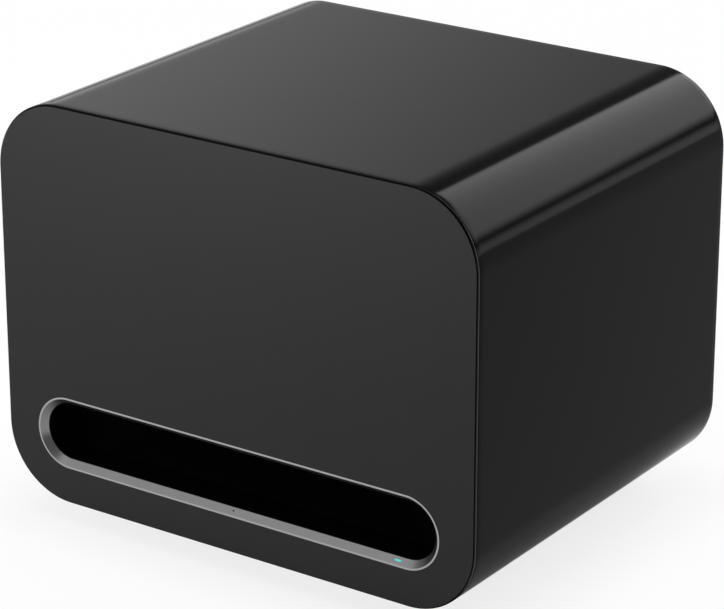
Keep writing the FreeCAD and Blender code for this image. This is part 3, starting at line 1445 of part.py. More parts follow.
PIECES = (
    cabinet_shell, feet, foot_screws, cross_brace, wadding_pads,
    front_frame, front_panel, front_baffle, port_bezel,
    status_light_pipe, status_led, microphone, light_mic_board, front_lead,
    port_mouth, port_funnel, port_screws, port_bend_lower, port_riser, port_bend_upper, port_outlet,
    driver_mounting_ring, inner_gaskets, driver_frame, driver_screws, driver_terminals, speaker_leads,
    surround, cone, dust_cap, coil_former, voice_coil, spider, top_plate, magnet, pole_yoke,
    back_panel, amp_plate, amp_gasket, amp_screws, mains_inlet, inlet_pins,
    line_jack_shells, line_jack_inserts, pair_button, switch_plunger, pair_switch,
    amp_board, board_standoffs, power_transformer, bulk_capacitors, output_inductors, amp_chips,
    heat_sink, board_connectors, wireless_module, antennas, amp_cover, cover_screws, lead_grommets,
)


def main():
    os.makedirs("parts", exist_ok=True)
    for piece in PIECES:
        piece().exportStep(f"parts/{piece.__name__}.step")


main()
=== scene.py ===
"""Looks of the wireless subwoofer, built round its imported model.

Shapes are worked out in millimetres and turned into metres when a mesh is made. +Z is up, the
front faces -Y and +X is on the right seen from the front. An inset is how far a loop lies
inside its outline. Materials and light work in metres.
"""

import json
import math

import bmesh
import bpy
import numpy as np
from mathutils import Matrix, Vector


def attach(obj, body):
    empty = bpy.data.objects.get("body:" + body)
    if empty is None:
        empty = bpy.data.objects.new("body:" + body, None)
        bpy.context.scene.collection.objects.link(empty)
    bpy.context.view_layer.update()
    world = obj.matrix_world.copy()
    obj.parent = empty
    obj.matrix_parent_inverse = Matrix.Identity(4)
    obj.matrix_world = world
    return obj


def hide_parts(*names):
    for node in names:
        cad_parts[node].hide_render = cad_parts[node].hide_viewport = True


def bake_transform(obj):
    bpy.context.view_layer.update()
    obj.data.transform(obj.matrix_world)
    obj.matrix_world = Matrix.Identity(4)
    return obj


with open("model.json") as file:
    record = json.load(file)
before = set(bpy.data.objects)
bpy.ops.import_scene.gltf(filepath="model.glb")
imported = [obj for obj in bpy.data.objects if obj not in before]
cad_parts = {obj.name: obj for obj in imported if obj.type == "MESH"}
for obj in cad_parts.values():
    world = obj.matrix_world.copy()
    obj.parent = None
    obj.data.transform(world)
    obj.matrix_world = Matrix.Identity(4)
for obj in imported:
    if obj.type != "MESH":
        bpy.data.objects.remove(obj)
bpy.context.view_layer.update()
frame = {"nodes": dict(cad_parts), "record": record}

# A millimetre in metres, and the grid in millimetres on which points that meet are welded
MM = 0.001
WELD = 1e-4

# Outlines: half width, half height, corner radius and height of the middle
CABINET = (185.0, 138.5, 49.4, 153.5)
SLOT = (159.4, 25.2, 25.2, 65.8)
CABINET_REACH = CABINET[0] - CABINET[2]
SLOT_REACH = SLOT[0] - SLOT[2]
ARC_STEPS = 40
FLOOR_STEPS = 54
SIDE_STEPS = 6

# Depths
FRONT_Y = -149.0
RIM_Y = -148.2
SHEET_BACK_Y = -147.8
WEB_BACK_Y = -147.4
RIM_BACK_Y = -147.2
WALLS_FRONT_Y = -146.6
BAFFLE_Y = -143.6
PAINTED_Y = 146.5
BACK_Y = 149.0

# Cabinet
WALL = 15.0
WALL_BEVEL = 0.2
WALL_STEPS = 60
FLOOR_Z = 15.0
INNER_FLOOR_Z = 30.0

# Feet: the bore's and the counterbore's sizes are radii
FOOT_X = 110.0
FOOT_Y = 98.0
FOOT_RADIUS = 17.0
FOOT_ROUND = 2.4
FOOT_BEVEL = 0.3
FOOT_BORE = 2.4
COUNTERBORE = 5.5
COUNTERBORE_TOP = 6.0

# Insets of the front frame and the panel
CHAMFER = 0.5
POCKET_INSET = 0.8
POCKET_BEVEL = 0.05
PANEL_INSET = 1.15
PANEL_BEVEL = 0.08
PANEL_HOLE_INSET = 0.9
SEAM_INSET = 1.2
SEAM_BEVEL = 0.04
PLUG_INSET = 15.3
RING_INSET = 17.5

# Bezel
LIP_Y = -149.3
LIP_WIDTH = 1.2
LIP_BEVEL = 0.1
TAPER_WIDTH = 4.0
TAPER_RUN = 4.4
TAPER_SHARES = np.array([0.2, 0.3875, 0.575, 0.7625, 0.95])

# Microphone's hole: place along X, share of the way across the taper, radius
MIC_HOLE = (0.0, 0.62, 0.6)
# Light's window: place along X, share of the way across the taper, half length, half width
LIGHT_WINDOW = (127.4, 0.56, 2.65, 0.5)
# Half length of the stretch of wall that is laid anew round each of them
MIC_STRETCH = 2.0
LIGHT_STRETCH = 3.6

# Woofer: middle, mounting height and radii
WOOFER = (0.0, 20.0)
WOOFER_Z = 25.0
WOOFER_HOLE = 106.0
CONE_RADIUS = 74.0
CONE_LAND = 69.5
CONE_NECK = 25.0
CONE_SLOPE = 33.0 / 44.6
CAP_RADIUS = 36.0
CAP_HEIGHT = 12.0

# Jacks: the right channel's one lies on the -X side of this place
BETWEEN_JACKS_X = -14.0

# Along X, where the coat on the rim's upright sides starts and where it is full
COAT_START_X = 172.0
COAT_FULL_X = 184.5

# Camera: turn and rise in degrees, distance and shifts in widths of the cabinet, and focal
# length in pixels of the frame
CAMERA_TURN = 34.7546
CAMERA_RISE = 21.08262
CAMERA_DISTANCE = 5.77363
CAMERA_LEFT = 0.00351
CAMERA_DOWN = 0.03541
FOCAL_PIXELS = 3217.756
FRAME_PIXELS = 724
SENSOR_WIDTH = 36.0

# Share of plain white in the floor, in the open and under the object, and metres between them
FLOOR_WHITE = 0.92
SHADOW_WHITE = 0.8
SHADOW_FADE = 0.05


# Surfaces as arrays of points

def outline(form, inset, floor_x=None):
    """Closed loop of (x, z): straight sides joined by quarter circles, drawn in by inset.

    A corner is its centre plus the shrunken radius times the cosine and sine of an angle that
    runs through a quarter turn. The corner centres don't move with the inset, so loops of one
    form match point by point."""
    half_width, half_height, radius, middle = form
    across, rise = half_width - radius, half_height - radius
    radius = radius - inset
    floor = np.linspace(-across, across, FLOOR_STEPS + 1) if floor_x is None else floor_x
    side = np.linspace(-rise, rise, SIDE_STEPS + 1)

    def corner(x, z, start):
        turn = np.radians(np.linspace(start, start + 90, ARC_STEPS + 1))
        return np.stack([x + radius * np.cos(turn), z + radius * np.sin(turn)], axis=1)

    def straight(x, z):
        return np.stack(np.broadcast_arrays(x, z), axis=1).astype(float)

    loop = np.concatenate([
        straight(floor, -rise - radius), corner(across, -rise, 270),
        straight(across + radius, side), corner(across, rise, 0),
        straight(floor[::-1], rise + radius), corner(-across, rise, 90),
        straight(-across - radius, side[::-1]), corner(-across, -rise, 180),
    ])
    return loop + [0, middle]


def upright(loop, y):
    """A loop of (x, z) stood up at one depth."""
    return np.stack([loop[:, 0], np.full(len(loop), y), loop[:, 1]], axis=1)


def swept(form, profile, floor_x=None):
    """Rows of points: for each (inset, y) of the profile, the form's outline drawn in by that
    inset at that depth."""
    return np.stack([upright(outline(form, inset, floor_x), y) for inset, y in profile])


def spanned(first, last, steps):
    """Rows between two loops: first plus a share of the way to last, share by share."""
    share = np.linspace(0, 1, steps + 1)[:, None, None]
    return first[None] * (1 - share) + last[None] * share


def rounded(start, end, corner, steps=3):
    """Points of a small curve from start to end that bends at corner: start times the square of
    what is left, corner times twice share and rest, end times the square of the share."""
    start, end, corner = np.array(start), np.array(end), np.array(corner)
    share = np.linspace(0, 1, steps + 1)[:, None]
    rest = 1 - share
    points = rest ** 2 * start + 2 * share * rest * corner + share ** 2 * end
    return [tuple(point) for point in points]


def turned(profile, centre=WOOFER, steps=192):
    """Rows of points on a turned surface: each (radius, z) of the profile, carried round the
    centre by the cosine and sine of a full turn."""
    profile = np.asarray(profile, float)
    turn = np.linspace(0, 2 * np.pi, steps + 1)
    turn[-1] = 0
    x = centre[0] + profile[:, :1] * np.cos(turn)
    y = centre[1] + profile[:, :1] * np.sin(turn)
    return np.stack([x, y, np.broadcast_to(profile[:, 1:], x.shape)], axis=2)


def pierced(x_line, y_line, hole, near, far, steps):
    """Rows of points from the rim of a rectangle in to a hole on the near surface, through the
    wall, and out to the same rim on the far surface. hole moves the rim's (x, y) onto the
    hole's edge; near and far give a surface's height from y."""
    rim = np.concatenate([
        np.stack([x_line, np.full(len(x_line), y_line[0])], axis=1),
        np.stack([np.full(len(y_line), x_line[-1]), y_line], axis=1),
        np.stack([x_line[::-1], np.full(len(x_line), y_line[-1])], axis=1),
        np.stack([np.full(len(y_line), x_line[0]), y_line[::-1]], axis=1),
    ])
    edge = hole(rim)

    def laid(points, height):
        return np.stack([points[:, 0], points[:, 1], height(points[:, 1])], axis=1)

    shares = np.linspace(0, 1, steps + 1)
    inwards = [laid(rim + (edge - rim) * share, near) for share in shares]
    outwards = [laid(edge + (rim - edge) * share, far) for share in shares]
    return np.stack(inwards + outwards)


def round_hole(x, y, radius):
    """Moves points straight towards a centre until they are one radius from it."""
    def move(rim):
        away = rim - [x, y]
        return [x, y] + away * radius / np.hypot(away[:, 0], away[:, 1])[:, None]
    return move


def bar_hole(x, y, half_length, half_width):
    """Shrinks a rectangle's rim about a centre to a bar's length and width."""
    def move(rim):
        away = rim - [x, y]
        reach = np.abs(away).max(axis=0)
        return [x, y] + away * [half_length, half_width] / reach
    return move


def level(height):
    """A flat surface: the same height at every y."""
    return lambda y: np.full(len(y), height)


def closed(grid):
    """The grid with its first row repeated at the end."""
    return np.concatenate([grid, grid[:1]])


# Meshes

def cell_corners(rows, columns, start=0):
    """The numbers of the four corners of each cell of a grid."""
    index = np.arange(rows * columns).reshape(rows, columns) + start
    return np.stack([index[:-1, :-1], index[:-1, 1:], index[1:, 1:], index[1:, :-1]], axis=2)


def without_repeats(quads):
    """Faces from rows of four corners, where a corner that repeats its neighbour is left out."""
    same = quads == np.roll(quads, -1, axis=1)
    faces = quads[~same.any(axis=1)].tolist()
    for corner in range(4):
        rows = same[:, corner] & (same.sum(axis=1) == 1)
        kept = [n for n in range(4) if n != corner]
        faces += quads[rows][:, kept].tolist()
    return faces


def placed(name, data):
    """Adds an object with this data to the scene."""
    made = bpy.data.objects.new(name, data)
    bpy.context.scene.collection.objects.link(made)
    return made


def piece(name, *grids, sharp=14.0):
    """A closed mesh from grids of points. A grid's neighbours in rows and columns are the
    corners of a face. Points that meet are welded. A grid may come with the cells to keep."""
    points, quads, count = [], [], 0
    for grid in grids:
        grid, keep = grid if isinstance(grid, tuple) else (grid, None)
        rows, columns = grid.shape[:2]
        cells = cell_corners(rows, columns, count)
        quads.append(cells.reshape(-1, 4) if keep is None else cells[keep])
        points.append(grid.reshape(-1, 3))
        count += rows * columns
    points = np.concatenate(points)
    keys = np.round(points / WELD).astype(np.int64)
    _, first, welded = np.unique(keys, axis=0, return_index=True, return_inverse=True)
    faces = without_repeats(welded.reshape(-1)[np.concatenate(quads)])
    mesh = bpy.data.meshes.new(name)
    mesh.from_pydata((points[first] * MM).tolist(), [], faces)
    shell = bmesh.new()
    shell.from_mesh(mesh)
    bmesh.ops.recalc_face_normals(shell, faces=shell.faces)
    shell.to_mesh(mesh)
    shell.free()
    mesh.shade_smooth()
    mesh.set_sharp_from_angle(angle=math.radians(sharp))
    return placed(name, mesh)


# Finishes

class Value:
    """A socket of a finish. Sums, products and comparisons add Math nodes."""

    def __init__(self, finish, socket):
        self.finish = finish
        self.socket = socket

    def maths(self, operation, *terms):
        """Result of one Math node over these terms."""
        return self.finish.node("ShaderNodeMath", {"operation": operation}, dict(enumerate(terms)))

    def __add__(self, other):
        return self.maths("ADD", self, other)

    def __radd__(self, other):
        return self.maths("ADD", other, self)

    def __sub__(self, other):
        return self.maths("SUBTRACT", self, other)

    def __rsub__(self, other):
        return self.maths("SUBTRACT", other, self)

    def __mul__(self, other):
        return self.maths("MULTIPLY", self, other)

    def __gt__(self, other):
        return self.maths("GREATER_THAN", self, other)

    def __lt__(self, other):
        return self.maths("LESS_THAN", self, other)

    def __abs__(self):
        return self.maths("ABSOLUTE", self)

    def step(self, low, high):
        """0 below low, 1 above high and an even S between them."""
        return self.finish.node("ShaderNodeMapRange", {"interpolation_type": "SMOOTHSTEP"},
                                {"Value": self, "From Min": low, "From Max": high})

    def band(self, rise, fall):
        """0, then up over one pair of low and high, 1, and down again over another pair."""
        return self.step(*rise) * (1 - self.step(*fall))


class Finish:
    """The nodes of one finish, of the floor's paint or of the studio's light."""

    SOCKETS = {
        "colour": "Base Color", "roughness": "Roughness", "metallic": "Metallic",
        "normal": "Normal", "ior": "IOR", "coat": "Coat Weight",
        "coat_roughness": "Coat Roughness", "sheen": "Sheen Weight", "glow": "Emission Color",
        "glow_strength": "Emission Strength",
    }

    def __init__(self, name, tree=None):
        self.material = None
        if tree is None:
            self.material = bpy.data.materials.new(name)
            self.material.use_nodes = True
            tree = self.material.node_tree
        self.tree = tree
        self.tree.nodes.clear()

    @staticmethod
    def socket(sockets, key):
        """The socket with this number, identifier or name."""
        if isinstance(key, int):
            return sockets[key]
        found = [s for s in sockets if s.identifier == key] or [s for s in sockets if s.name == key]
        return found[0]

    def node(self, kind, settings=None, inputs=None, output=0):
        """Adds a node: its settings first, then the values or links of its sockets."""
        made = self.tree.nodes.new(kind)
        for key, value in (settings or {}).items():
            setattr(made, key, value)
        for key, value in (inputs or {}).items():
            target = self.socket(made.inputs, key)
            if isinstance(value, Value):
                self.tree.links.new(value.socket, target)
            else:
                target.default_value = value
        return Value(self, self.socket(made.outputs, output))

    def place(self, scale=None):
        """Position on the object in metres, stretched by a scale along each axis."""
        where = self.node("ShaderNodeTexCoord", output="Object")
        if scale is None:
            return where
        return self.node("ShaderNodeMapping", {}, {"Vector": where, "Scale": scale})

    def axis(self, name):
        """Position on the object along one axis, in metres."""
        return self.node("ShaderNodeSeparateXYZ", {}, {"Vector": self.place()}, name)

    def noise(self, per_metre, detail, stretch=None):
        """Smooth noise from 0 to 1, with so many lumps in a metre."""
        return self.node("ShaderNodeTexNoise", {}, {
            "Vector": self.place(stretch), "Scale": per_metre, "Detail": detail})

    def speckle(self, per_metre):
        """Distance to the nearest of scattered points, with so many of them along a metre."""
        return self.node("ShaderNodeTexVoronoi", {}, {"Vector": self.place(), "Scale": per_metre})

    def between(self, share, first, last):
        """Colour part of the way from first to last."""
        first = (*first, 1) if isinstance(first, tuple) else first
        last = (*last, 1) if isinstance(last, tuple) else last
        return self.node("ShaderNodeMix", {"data_type": "RGBA"}, {
            "Factor_Float": share, "A_Color": first, "B_Color": last}, "Result_Color")

    def bump(self, height, depth):
        """Surface raised by height times depth, in metres."""
        return self.node("ShaderNodeBump", {}, {"Height": height, "Distance": depth})

    def ray(self, kind):
        """1 for rays of this kind and 0 for others."""
        return self.node("ShaderNodeLightPath", output=kind)

    def surface(self, **inputs):
        """Ends the finish in a Principled shader and gives its material."""
        sockets = {self.SOCKETS[key]: value for key, value in inputs.items()}
        self.ended(self.node("ShaderNodeBsdfPrincipled", {}, sockets))
        return self.material

    def ended(self, shader, kind="ShaderNodeOutputMaterial"):
        """Links the last shader to an output."""
        out = self.tree.nodes.new(kind)
        self.tree.links.new(shader.socket, out.inputs["Surface"])


def shade(colour, factor):
    """A colour with each channel times a factor."""
    return tuple(channel * factor for channel in colour)


def lacquer(name):
    """Satin black lacquer: a very slight orange peel and a little unevenness in its gloss."""
    f = Finish(name)
    cloud = f.noise(per_metre=14, detail=3)
    peel = f.noise(per_metre=420, detail=2)
    return f.surface(colour=f.between(cloud, (0.0022, 0.0022, 0.0023), (0.0032, 0.0032, 0.0033)),
                     roughness=0.10 + cloud * 0.04, normal=f.bump(peel, 4.5e-6), ior=1.11)


def plastic(name, colour, roughness, grain, depth, spread=0.12, ior=1.5):
    """Moulded or painted surface with a fine grain and faint clouds in its colour and gloss."""
    f = Finish(name)
    cloud = f.noise(per_metre=35, detail=3)
    fine = f.noise(grain, detail=2)
    return f.surface(colour=f.between(cloud, shade(colour, 1 - spread), shade(colour, 1 + spread)),
                     roughness=roughness - 0.03 + cloud * 0.06, normal=f.bump(fine, depth), ior=ior)


def metal(name, colour, roughness, grain, depth, stretch=None):
    """Bare or plated metal whose fine marks run along one axis where it is stretched."""
    f = Finish(name)
    marks = f.noise(grain, 3, stretch)
    cloud = f.noise(per_metre=40, detail=2)
    return f.surface(colour=f.between(cloud, shade(colour, 0.9), shade(colour, 1.1)),
                     roughness=roughness - 0.05 + marks * 0.1, metallic=1.0,
                     normal=f.bump(marks, depth))


def rim_plastic(name):
    """Moulded front frame: satin on its chamfer, glossier along its two upright sides, and matte on
    the narrow ledge round the panel, whose colour is darkened there as painted shade in the recess."""
    f = Finish(name)
    cloud = f.noise(per_metre=35, detail=3)
    fine = f.noise(per_metre=1800, detail=2)
    matte_ledge_with_painted_shade = f.axis("Y") < (RIM_Y + POCKET_BEVEL) * MM
    side = abs(f.axis("X")).step(COAT_START_X * MM, COAT_FULL_X * MM)
    # Darker colour on the ledge: painted shade in the recess round the panel
    colour = f.between(matte_ledge_with_painted_shade, (0.003, 0.003, 0.0031), (0.001, 0.001, 0.001))
    return f.surface(colour=colour, roughness=0.28 + cloud * 0.05 + matte_ledge_with_painted_shade * 0.6,
                     normal=f.bump(fine, 1e-5), ior=1.12,
                     coat=(1 - matte_ledge_with_painted_shade) * side * 0.7, coat_roughness=0.3)


def bezel_metal(name):
    """Fine-blasted metal with a polished, brighter lip."""
    f = Finish(name)
    grain = f.noise(per_metre=3800, detail=3)
    lip = f.axis("Y") < (LIP_Y + 0.8 * LIP_BEVEL) * MM
    cloud = f.noise(per_metre=40, detail=2)
    blasted = f.between(cloud, (0.19, 0.19, 0.193), (0.225, 0.225, 0.228))
    return f.surface(colour=f.between(lip, blasted, (0.34, 0.34, 0.345)), metallic=1.0,
                     roughness=0.24 + grain * 0.1, normal=f.bump(grain, 6e-6))


def fibre(name, dark, pale, roughness, grain, depth, sheen=0.0):
    """Paper, cloth or wadding: two shades mixed by fibres, which also lift the surface."""
    f = Finish(name)
    strands = f.noise(grain, detail=6)
    cloud = f.noise(per_metre=60, detail=2)
    return f.surface(colour=f.between(strands * 0.7 + cloud * 0.3, dark, pale),
                     roughness=roughness, normal=f.bump(strands, depth), sheen=sheen)


def board(name):
    """Fibreboard: brown and speckled where bare, and painted matte black on the outer back."""
    f = Finish(name)
    chips = f.noise(per_metre=900, detail=5)
    bare = f.between(chips, (0.17, 0.115, 0.07), (0.36, 0.26, 0.165))
    painted = f.axis("Y") > PAINTED_Y * MM
    cloud = f.noise(per_metre=50, detail=3)
    paint = f.between(cloud, (0.012, 0.012, 0.0125), (0.018, 0.018, 0.0185))
    return f.surface(colour=f.between(painted, bare, paint), roughness=0.78 - painted * 0.22,
                     normal=f.bump(chips, 6e-5), ior=1.35)


def circuit_board(name):
    """Green solder mask, lifted a little where copper runs under it."""
    f = Finish(name)
    runs = f.node("ShaderNodeTexBrick", {}, {
        "Vector": f.place(), "Scale": 160.0, "Mortar Size": 0.12, "Color1": (0, 0, 0, 1),
        "Color2": (0.4, 0.4, 0.4, 1), "Mortar": (1, 1, 1, 1)})
    cloud = f.noise(per_metre=90, detail=3)
    return f.surface(colour=f.between(cloud, (0.008, 0.05, 0.02), (0.02, 0.11, 0.045)),
                     roughness=0.35, normal=f.bump(runs, 4e-5))


def foam(name):
    """Closed-cell foam: a field of small cells."""
    f = Finish(name)
    cells = f.speckle(per_metre=1400)
    return f.surface(colour=f.between(cells, (0.012, 0.012, 0.012), (0.035, 0.035, 0.035)),
                     roughness=0.9, normal=f.bump(cells, 2e-4))


def ferrite(name):
    """Sintered grey-black ceramic with specks and fine pits."""
    f = Finish(name)
    specks = f.speckle(per_metre=700)
    return f.surface(colour=f.between(specks, (0.02, 0.02, 0.022), (0.06, 0.06, 0.065)),
                     roughness=0.55, normal=f.bump(specks, 8e-5))


def insulator(name):
    """Moulded jack insulator, white for the left channel and red for the right one."""
    f = Finish(name)
    right = f.axis("X") < BETWEEN_JACKS_X * MM
    cloud = f.noise(per_metre=300, detail=2)
    white = f.between(cloud, (0.66, 0.65, 0.61), (0.74, 0.73, 0.69))
    red = f.between(cloud, (0.42, 0.015, 0.012), (0.5, 0.022, 0.018))
    return f.surface(colour=f.between(right, white, red), roughness=0.3 + cloud * 0.08,
                     normal=f.bump(cloud, 1e-5))


def light(name):
    """Lit cyan light pipe, a little brighter in its middle."""
    f = Finish(name)
    away = f.axis("X") - LIGHT_WINDOW[0] * MM
    dimmed = (away * away).step(0.0, 7.5e-6)
    return f.surface(colour=(0.02, 0.10, 0.10, 1), roughness=0.35,
                     glow=f.between(dimmed, (0.06, 0.60, 0.57), (0.02, 0.38, 0.36)),
                     glow_strength=1.0)


def winding(name):
    """Enamelled wire wound round the upright axis, turn above turn."""
    f = Finish(name)
    turns = f.node("ShaderNodeTexWave", {"wave_type": "BANDS", "bands_direction": "Z"},
                   {"Vector": f.place(), "Scale": 640.0})
    return f.surface(colour=f.between(turns, (0.25, 0.1, 0.04), (0.6, 0.3, 0.14)), metallic=0.85,
                     roughness=0.3, normal=f.bump(turns, 1e-4))


# How each slot's finish is made, and with what: for plastic and metal the colour, roughness,
# grains per metre and depth of the grain, then what each function lists after them
MAKERS = {
    "cabinet_lacquer": (lacquer,),
    "raw_board": (board,),
    "frame_plastic": (rim_plastic,),
    "panel_plastic": (plastic, (0.004, 0.004, 0.0041), 0.40, 5200, 1.2e-5, 0.06, 1.3),
    "bezel_metal": (bezel_metal,),
    "duct_plastic": (plastic, (0.0012, 0.0012, 0.0012), 0.85, 1600, 1e-4, 0.12, 1.05),
    "status_light": (light,),
    "circuit_board": (circuit_board,),
    "component_black": (plastic, (0.018, 0.018, 0.018), 0.5, 3000, 2e-5),
    "component_metal": (metal, (0.6, 0.6, 0.62), 0.35, 900, 1e-5, (1, 1, 12)),
    "ferrite": (ferrite,),
    "screw_steel": (metal, (0.09, 0.09, 0.092), 0.38, 2600, 2e-5),
    "rubber_black": (plastic, (0.02, 0.02, 0.02), 0.68, 2400, 4e-5),
    "gasket_foam": (foam,),
    "lead_jacket": (plastic, (0.02, 0.02, 0.02), 0.45, 900, 3e-5),
    "cone_paper": (fibre, (0.012, 0.012, 0.012), (0.034, 0.034, 0.034), 0.72, 700, 8e-5),
    "former_foil": (metal, (0.6, 0.6, 0.6), 0.3, 1500, 1e-5, (1, 1, 8)),
    "coil_wire": (winding,),
    "spider_cloth": (fibre, (0.26, 0.17, 0.07), (0.5, 0.37, 0.18), 0.85, 1500, 1.2e-4),
    "plate_steel": (metal, (0.16, 0.16, 0.165), 0.42, 1100, 3e-5),
    "basket_metal": (plastic, (0.02, 0.02, 0.021), 0.5, 1500, 5e-5),
    "amp_metal": (plastic, (0.014, 0.014, 0.015), 0.48, 1300, 6e-5, 0.12, 1.35),
    "socket_plastic": (plastic, (0.014, 0.014, 0.014), 0.3, 2200, 1e-5),
    "jack_metal": (metal, (0.62, 0.58, 0.52), 0.25, 2600, 1e-5),
    "jack_insert": (insulator,),
    "button_plastic": (plastic, (0.06, 0.06, 0.062), 0.5, 2600, 3e-5),
    "felt": (fibre, (0.32, 0.32, 0.31), (0.6, 0.6, 0.58), 0.95, 520, 9e-4, 0.2),
}
FINISHES = {name: maker(name, *values) for name, (maker, *values) in MAKERS.items()}


def dress(obj, slot):
    """Gives a piece the finish of its slot."""
    obj.data.materials.clear()
    obj.data.materials.append(FINISHES[slot])


def fitted(obj, body, slot, *nodes):
    """Gives a new piece its body and its finish, and hides the nodes that it stands for."""
    dress(obj, slot)
    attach(obj, body)
    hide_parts(*nodes)


# Cabinet

def cabinet_skin():
    """Four walls in one: the cabinet's outline swept from the seam to the back edge and back
    along the inside, with the woofer's hole through the flat floor."""
    floor_x = np.linspace(-CABINET_REACH, CABINET_REACH, FLOOR_STEPS + 1)
    y_line = np.linspace(WALLS_FRONT_Y + WALL_BEVEL, BACK_Y - WALL_BEVEL, WALL_STEPS + 1)
    front = rounded((WALL_BEVEL, WALLS_FRONT_Y), (0, y_line[0]), (0, WALLS_FRONT_Y))
    back = rounded((0, y_line[-1]), (WALL_BEVEL, BACK_Y), (0, BACK_Y))
    outer = [(0, y) for y in y_line]
    inner = [(WALL, y) for y in y_line[::-1]]
    profile = front[:-1] + outer + back[1:] + [(WALL, BACK_Y)] + inner + [(WALL, WALLS_FRONT_Y)]
    grid = closed(swept(CABINET, profile, floor_x))
    keep = np.ones((grid.shape[0] - 1, grid.shape[1] - 1), bool)
    outer_start = len(front) - 1
    inner_start = outer_start + len(outer) + len(back)
    for start in (outer_start, inner_start):
        keep[start:start + WALL_STEPS, :FLOOR_STEPS] = False
    hole = round_hole(*WOOFER, WOOFER_HOLE)
    patch = pierced(floor_x, y_line, hole, level(FLOOR_Z), level(INNER_FLOOR_Z), 6)
    return piece("cabinet_skin", (grid, keep), patch)


def rubber_feet():
    """Four turned feet with a rounded tread and a counterbore for the screw."""
    inside = (COUNTERBORE, FOOT_BEVEL)
    tread = rounded((FOOT_RADIUS - FOOT_ROUND, 0), (FOOT_RADIUS, FOOT_ROUND), (FOOT_RADIUS, 0), 8)
    profile = [inside, (COUNTERBORE + FOOT_BEVEL, 0)] + tread
    profile += [(FOOT_RADIUS, FLOOR_Z), (FOOT_BORE, FLOOR_Z), (FOOT_BORE, COUNTERBORE_TOP),
                (COUNTERBORE, COUNTERBORE_TOP), inside]
    places = [(x, y) for x in (-FOOT_X, FOOT_X) for y in (-FOOT_Y, FOOT_Y)]
    return piece("rubber_feet", *[turned(profile, place, 96) for place in places])


# Front

def front_rim():
    """Chamfered rim, seam neck and ring behind the seam, with a thin web out to the slot."""
    slot = outline(SLOT, PANEL_HOLE_INSET)
    bend_y = RIM_Y + CHAMFER
    profile = [(POCKET_INSET, SHEET_BACK_Y), (POCKET_INSET, RIM_Y + POCKET_BEVEL),
               (POCKET_INSET - POCKET_BEVEL, RIM_Y), (CHAMFER, RIM_Y)]
    # The chamfer runs into the rim's side with a very small bend
    profile += rounded((0.06, bend_y - 0.06), (0, bend_y + 0.08), (0.01, bend_y), 2)
    profile += [(0, RIM_BACK_Y - SEAM_BEVEL), (SEAM_BEVEL, RIM_BACK_Y),
                (SEAM_INSET, RIM_BACK_Y), (SEAM_INSET, WALLS_FRONT_Y),
                (PLUG_INSET, WALLS_FRONT_Y), (PLUG_INSET, BAFFLE_Y),
                (RING_INSET, BAFFLE_Y), (RING_INSET, WEB_BACK_Y)]
    rim = swept(CABINET, profile)
    pocket = spanned(upright(slot, SHEET_BACK_Y), rim[0], 4)
    behind = spanned(rim[-1], upright(slot, WEB_BACK_Y), 4)
    edge = np.stack([upright(slot, WEB_BACK_Y), upright(slot, SHEET_BACK_Y)])
    return piece("front_rim", pocket, rim, behind, edge)


def front_sheet():
    """Flat sheet of the front: rows between the cabinet's outline and the slot's, with a broken
    outer edge."""
    outer = outline(CABINET, PANEL_INSET)
    face = upright(outline(CABINET, PANEL_INSET + PANEL_BEVEL), FRONT_Y)
    hole = outline(SLOT, PANEL_HOLE_INSET)
    edge = np.stack([upright(outer, SHEET_BACK_Y), upright(outer, FRONT_Y + PANEL_BEVEL), face])
    back = spanned(upright(hole, SHEET_BACK_Y), upright(outer, SHEET_BACK_Y), 4)
    throat = np.stack([upright(hole, FRONT_Y), upright(hole, SHEET_BACK_Y)])
    return piece("front_sheet", edge, spanned(face, upright(hole, FRONT_Y), 12), throat, back)


def on_taper(share):
    """Inset and depth of a point part of the way across the bezel's tapered wall."""
    return LIP_WIDTH + TAPER_WIDTH * share, LIP_Y + TAPER_RUN * share


def slot_bezel():
    """Flat lip, tapered wall and straight throat, each a family of the slot's outlines, with
    the microphone's pinhole and the light's window through the lower wall."""
    mic_x, mic_share, mic_radius = MIC_HOLE
    light_x, light_share, light_half, light_thick = LIGHT_WINDOW
    mic_line = np.linspace(mic_x - MIC_STRETCH, mic_x + MIC_STRETCH, 9)
    light_line = np.linspace(light_x - LIGHT_STRETCH, light_x + LIGHT_STRETCH, 9)
    floor_x = np.unique(np.concatenate([
        np.linspace(-SLOT_REACH, mic_line[0], 17), mic_line,
        np.linspace(mic_line[-1], light_line[0], 17), light_line, [SLOT_REACH]]))
    barrel = LIP_WIDTH
    taper = [on_taper(share) for share in TAPER_SHARES]
    y_line = np.array([y for _, y in taper])
    lip = [(barrel, FRONT_Y), (0, FRONT_Y), (0, LIP_Y + LIP_BEVEL), (LIP_BEVEL, LIP_Y),
           on_taper(0.0)]
    throat = [on_taper(1.0), (LIP_WIDTH + TAPER_WIDTH, BAFFLE_Y), (barrel, BAFFLE_Y)]
    profile = lip + taper + throat + [(barrel, y) for y in y_line[::-1]]
    grid = closed(swept(SLOT, profile, floor_x))
    keep = np.ones((grid.shape[0] - 1, grid.shape[1] - 1), bool)
    cells = len(taper) - 1
    rows = (len(lip), len(lip) + len(taper) + len(throat))
    bottom = SLOT[3] - SLOT[1]

    def tapered(y):
        return bottom + LIP_WIDTH + (y - LIP_Y) / TAPER_RUN * TAPER_WIDTH

    holes = ((mic_line, round_hole(mic_x, on_taper(mic_share)[1], mic_radius)),
             (light_line, bar_hole(light_x, on_taper(light_share)[1], light_half, light_thick)))
    patches = []
    for line, hole in holes:
        first = int(np.argmin(np.abs(floor_x - line[0])))
        for row in rows:
            keep[row:row + cells, first:first + len(line) - 1] = False
        patches.append(pierced(line, y_line, hole, tapered, level(bottom + barrel), 2))
    return piece("slot_bezel", (grid, keep), *patches)


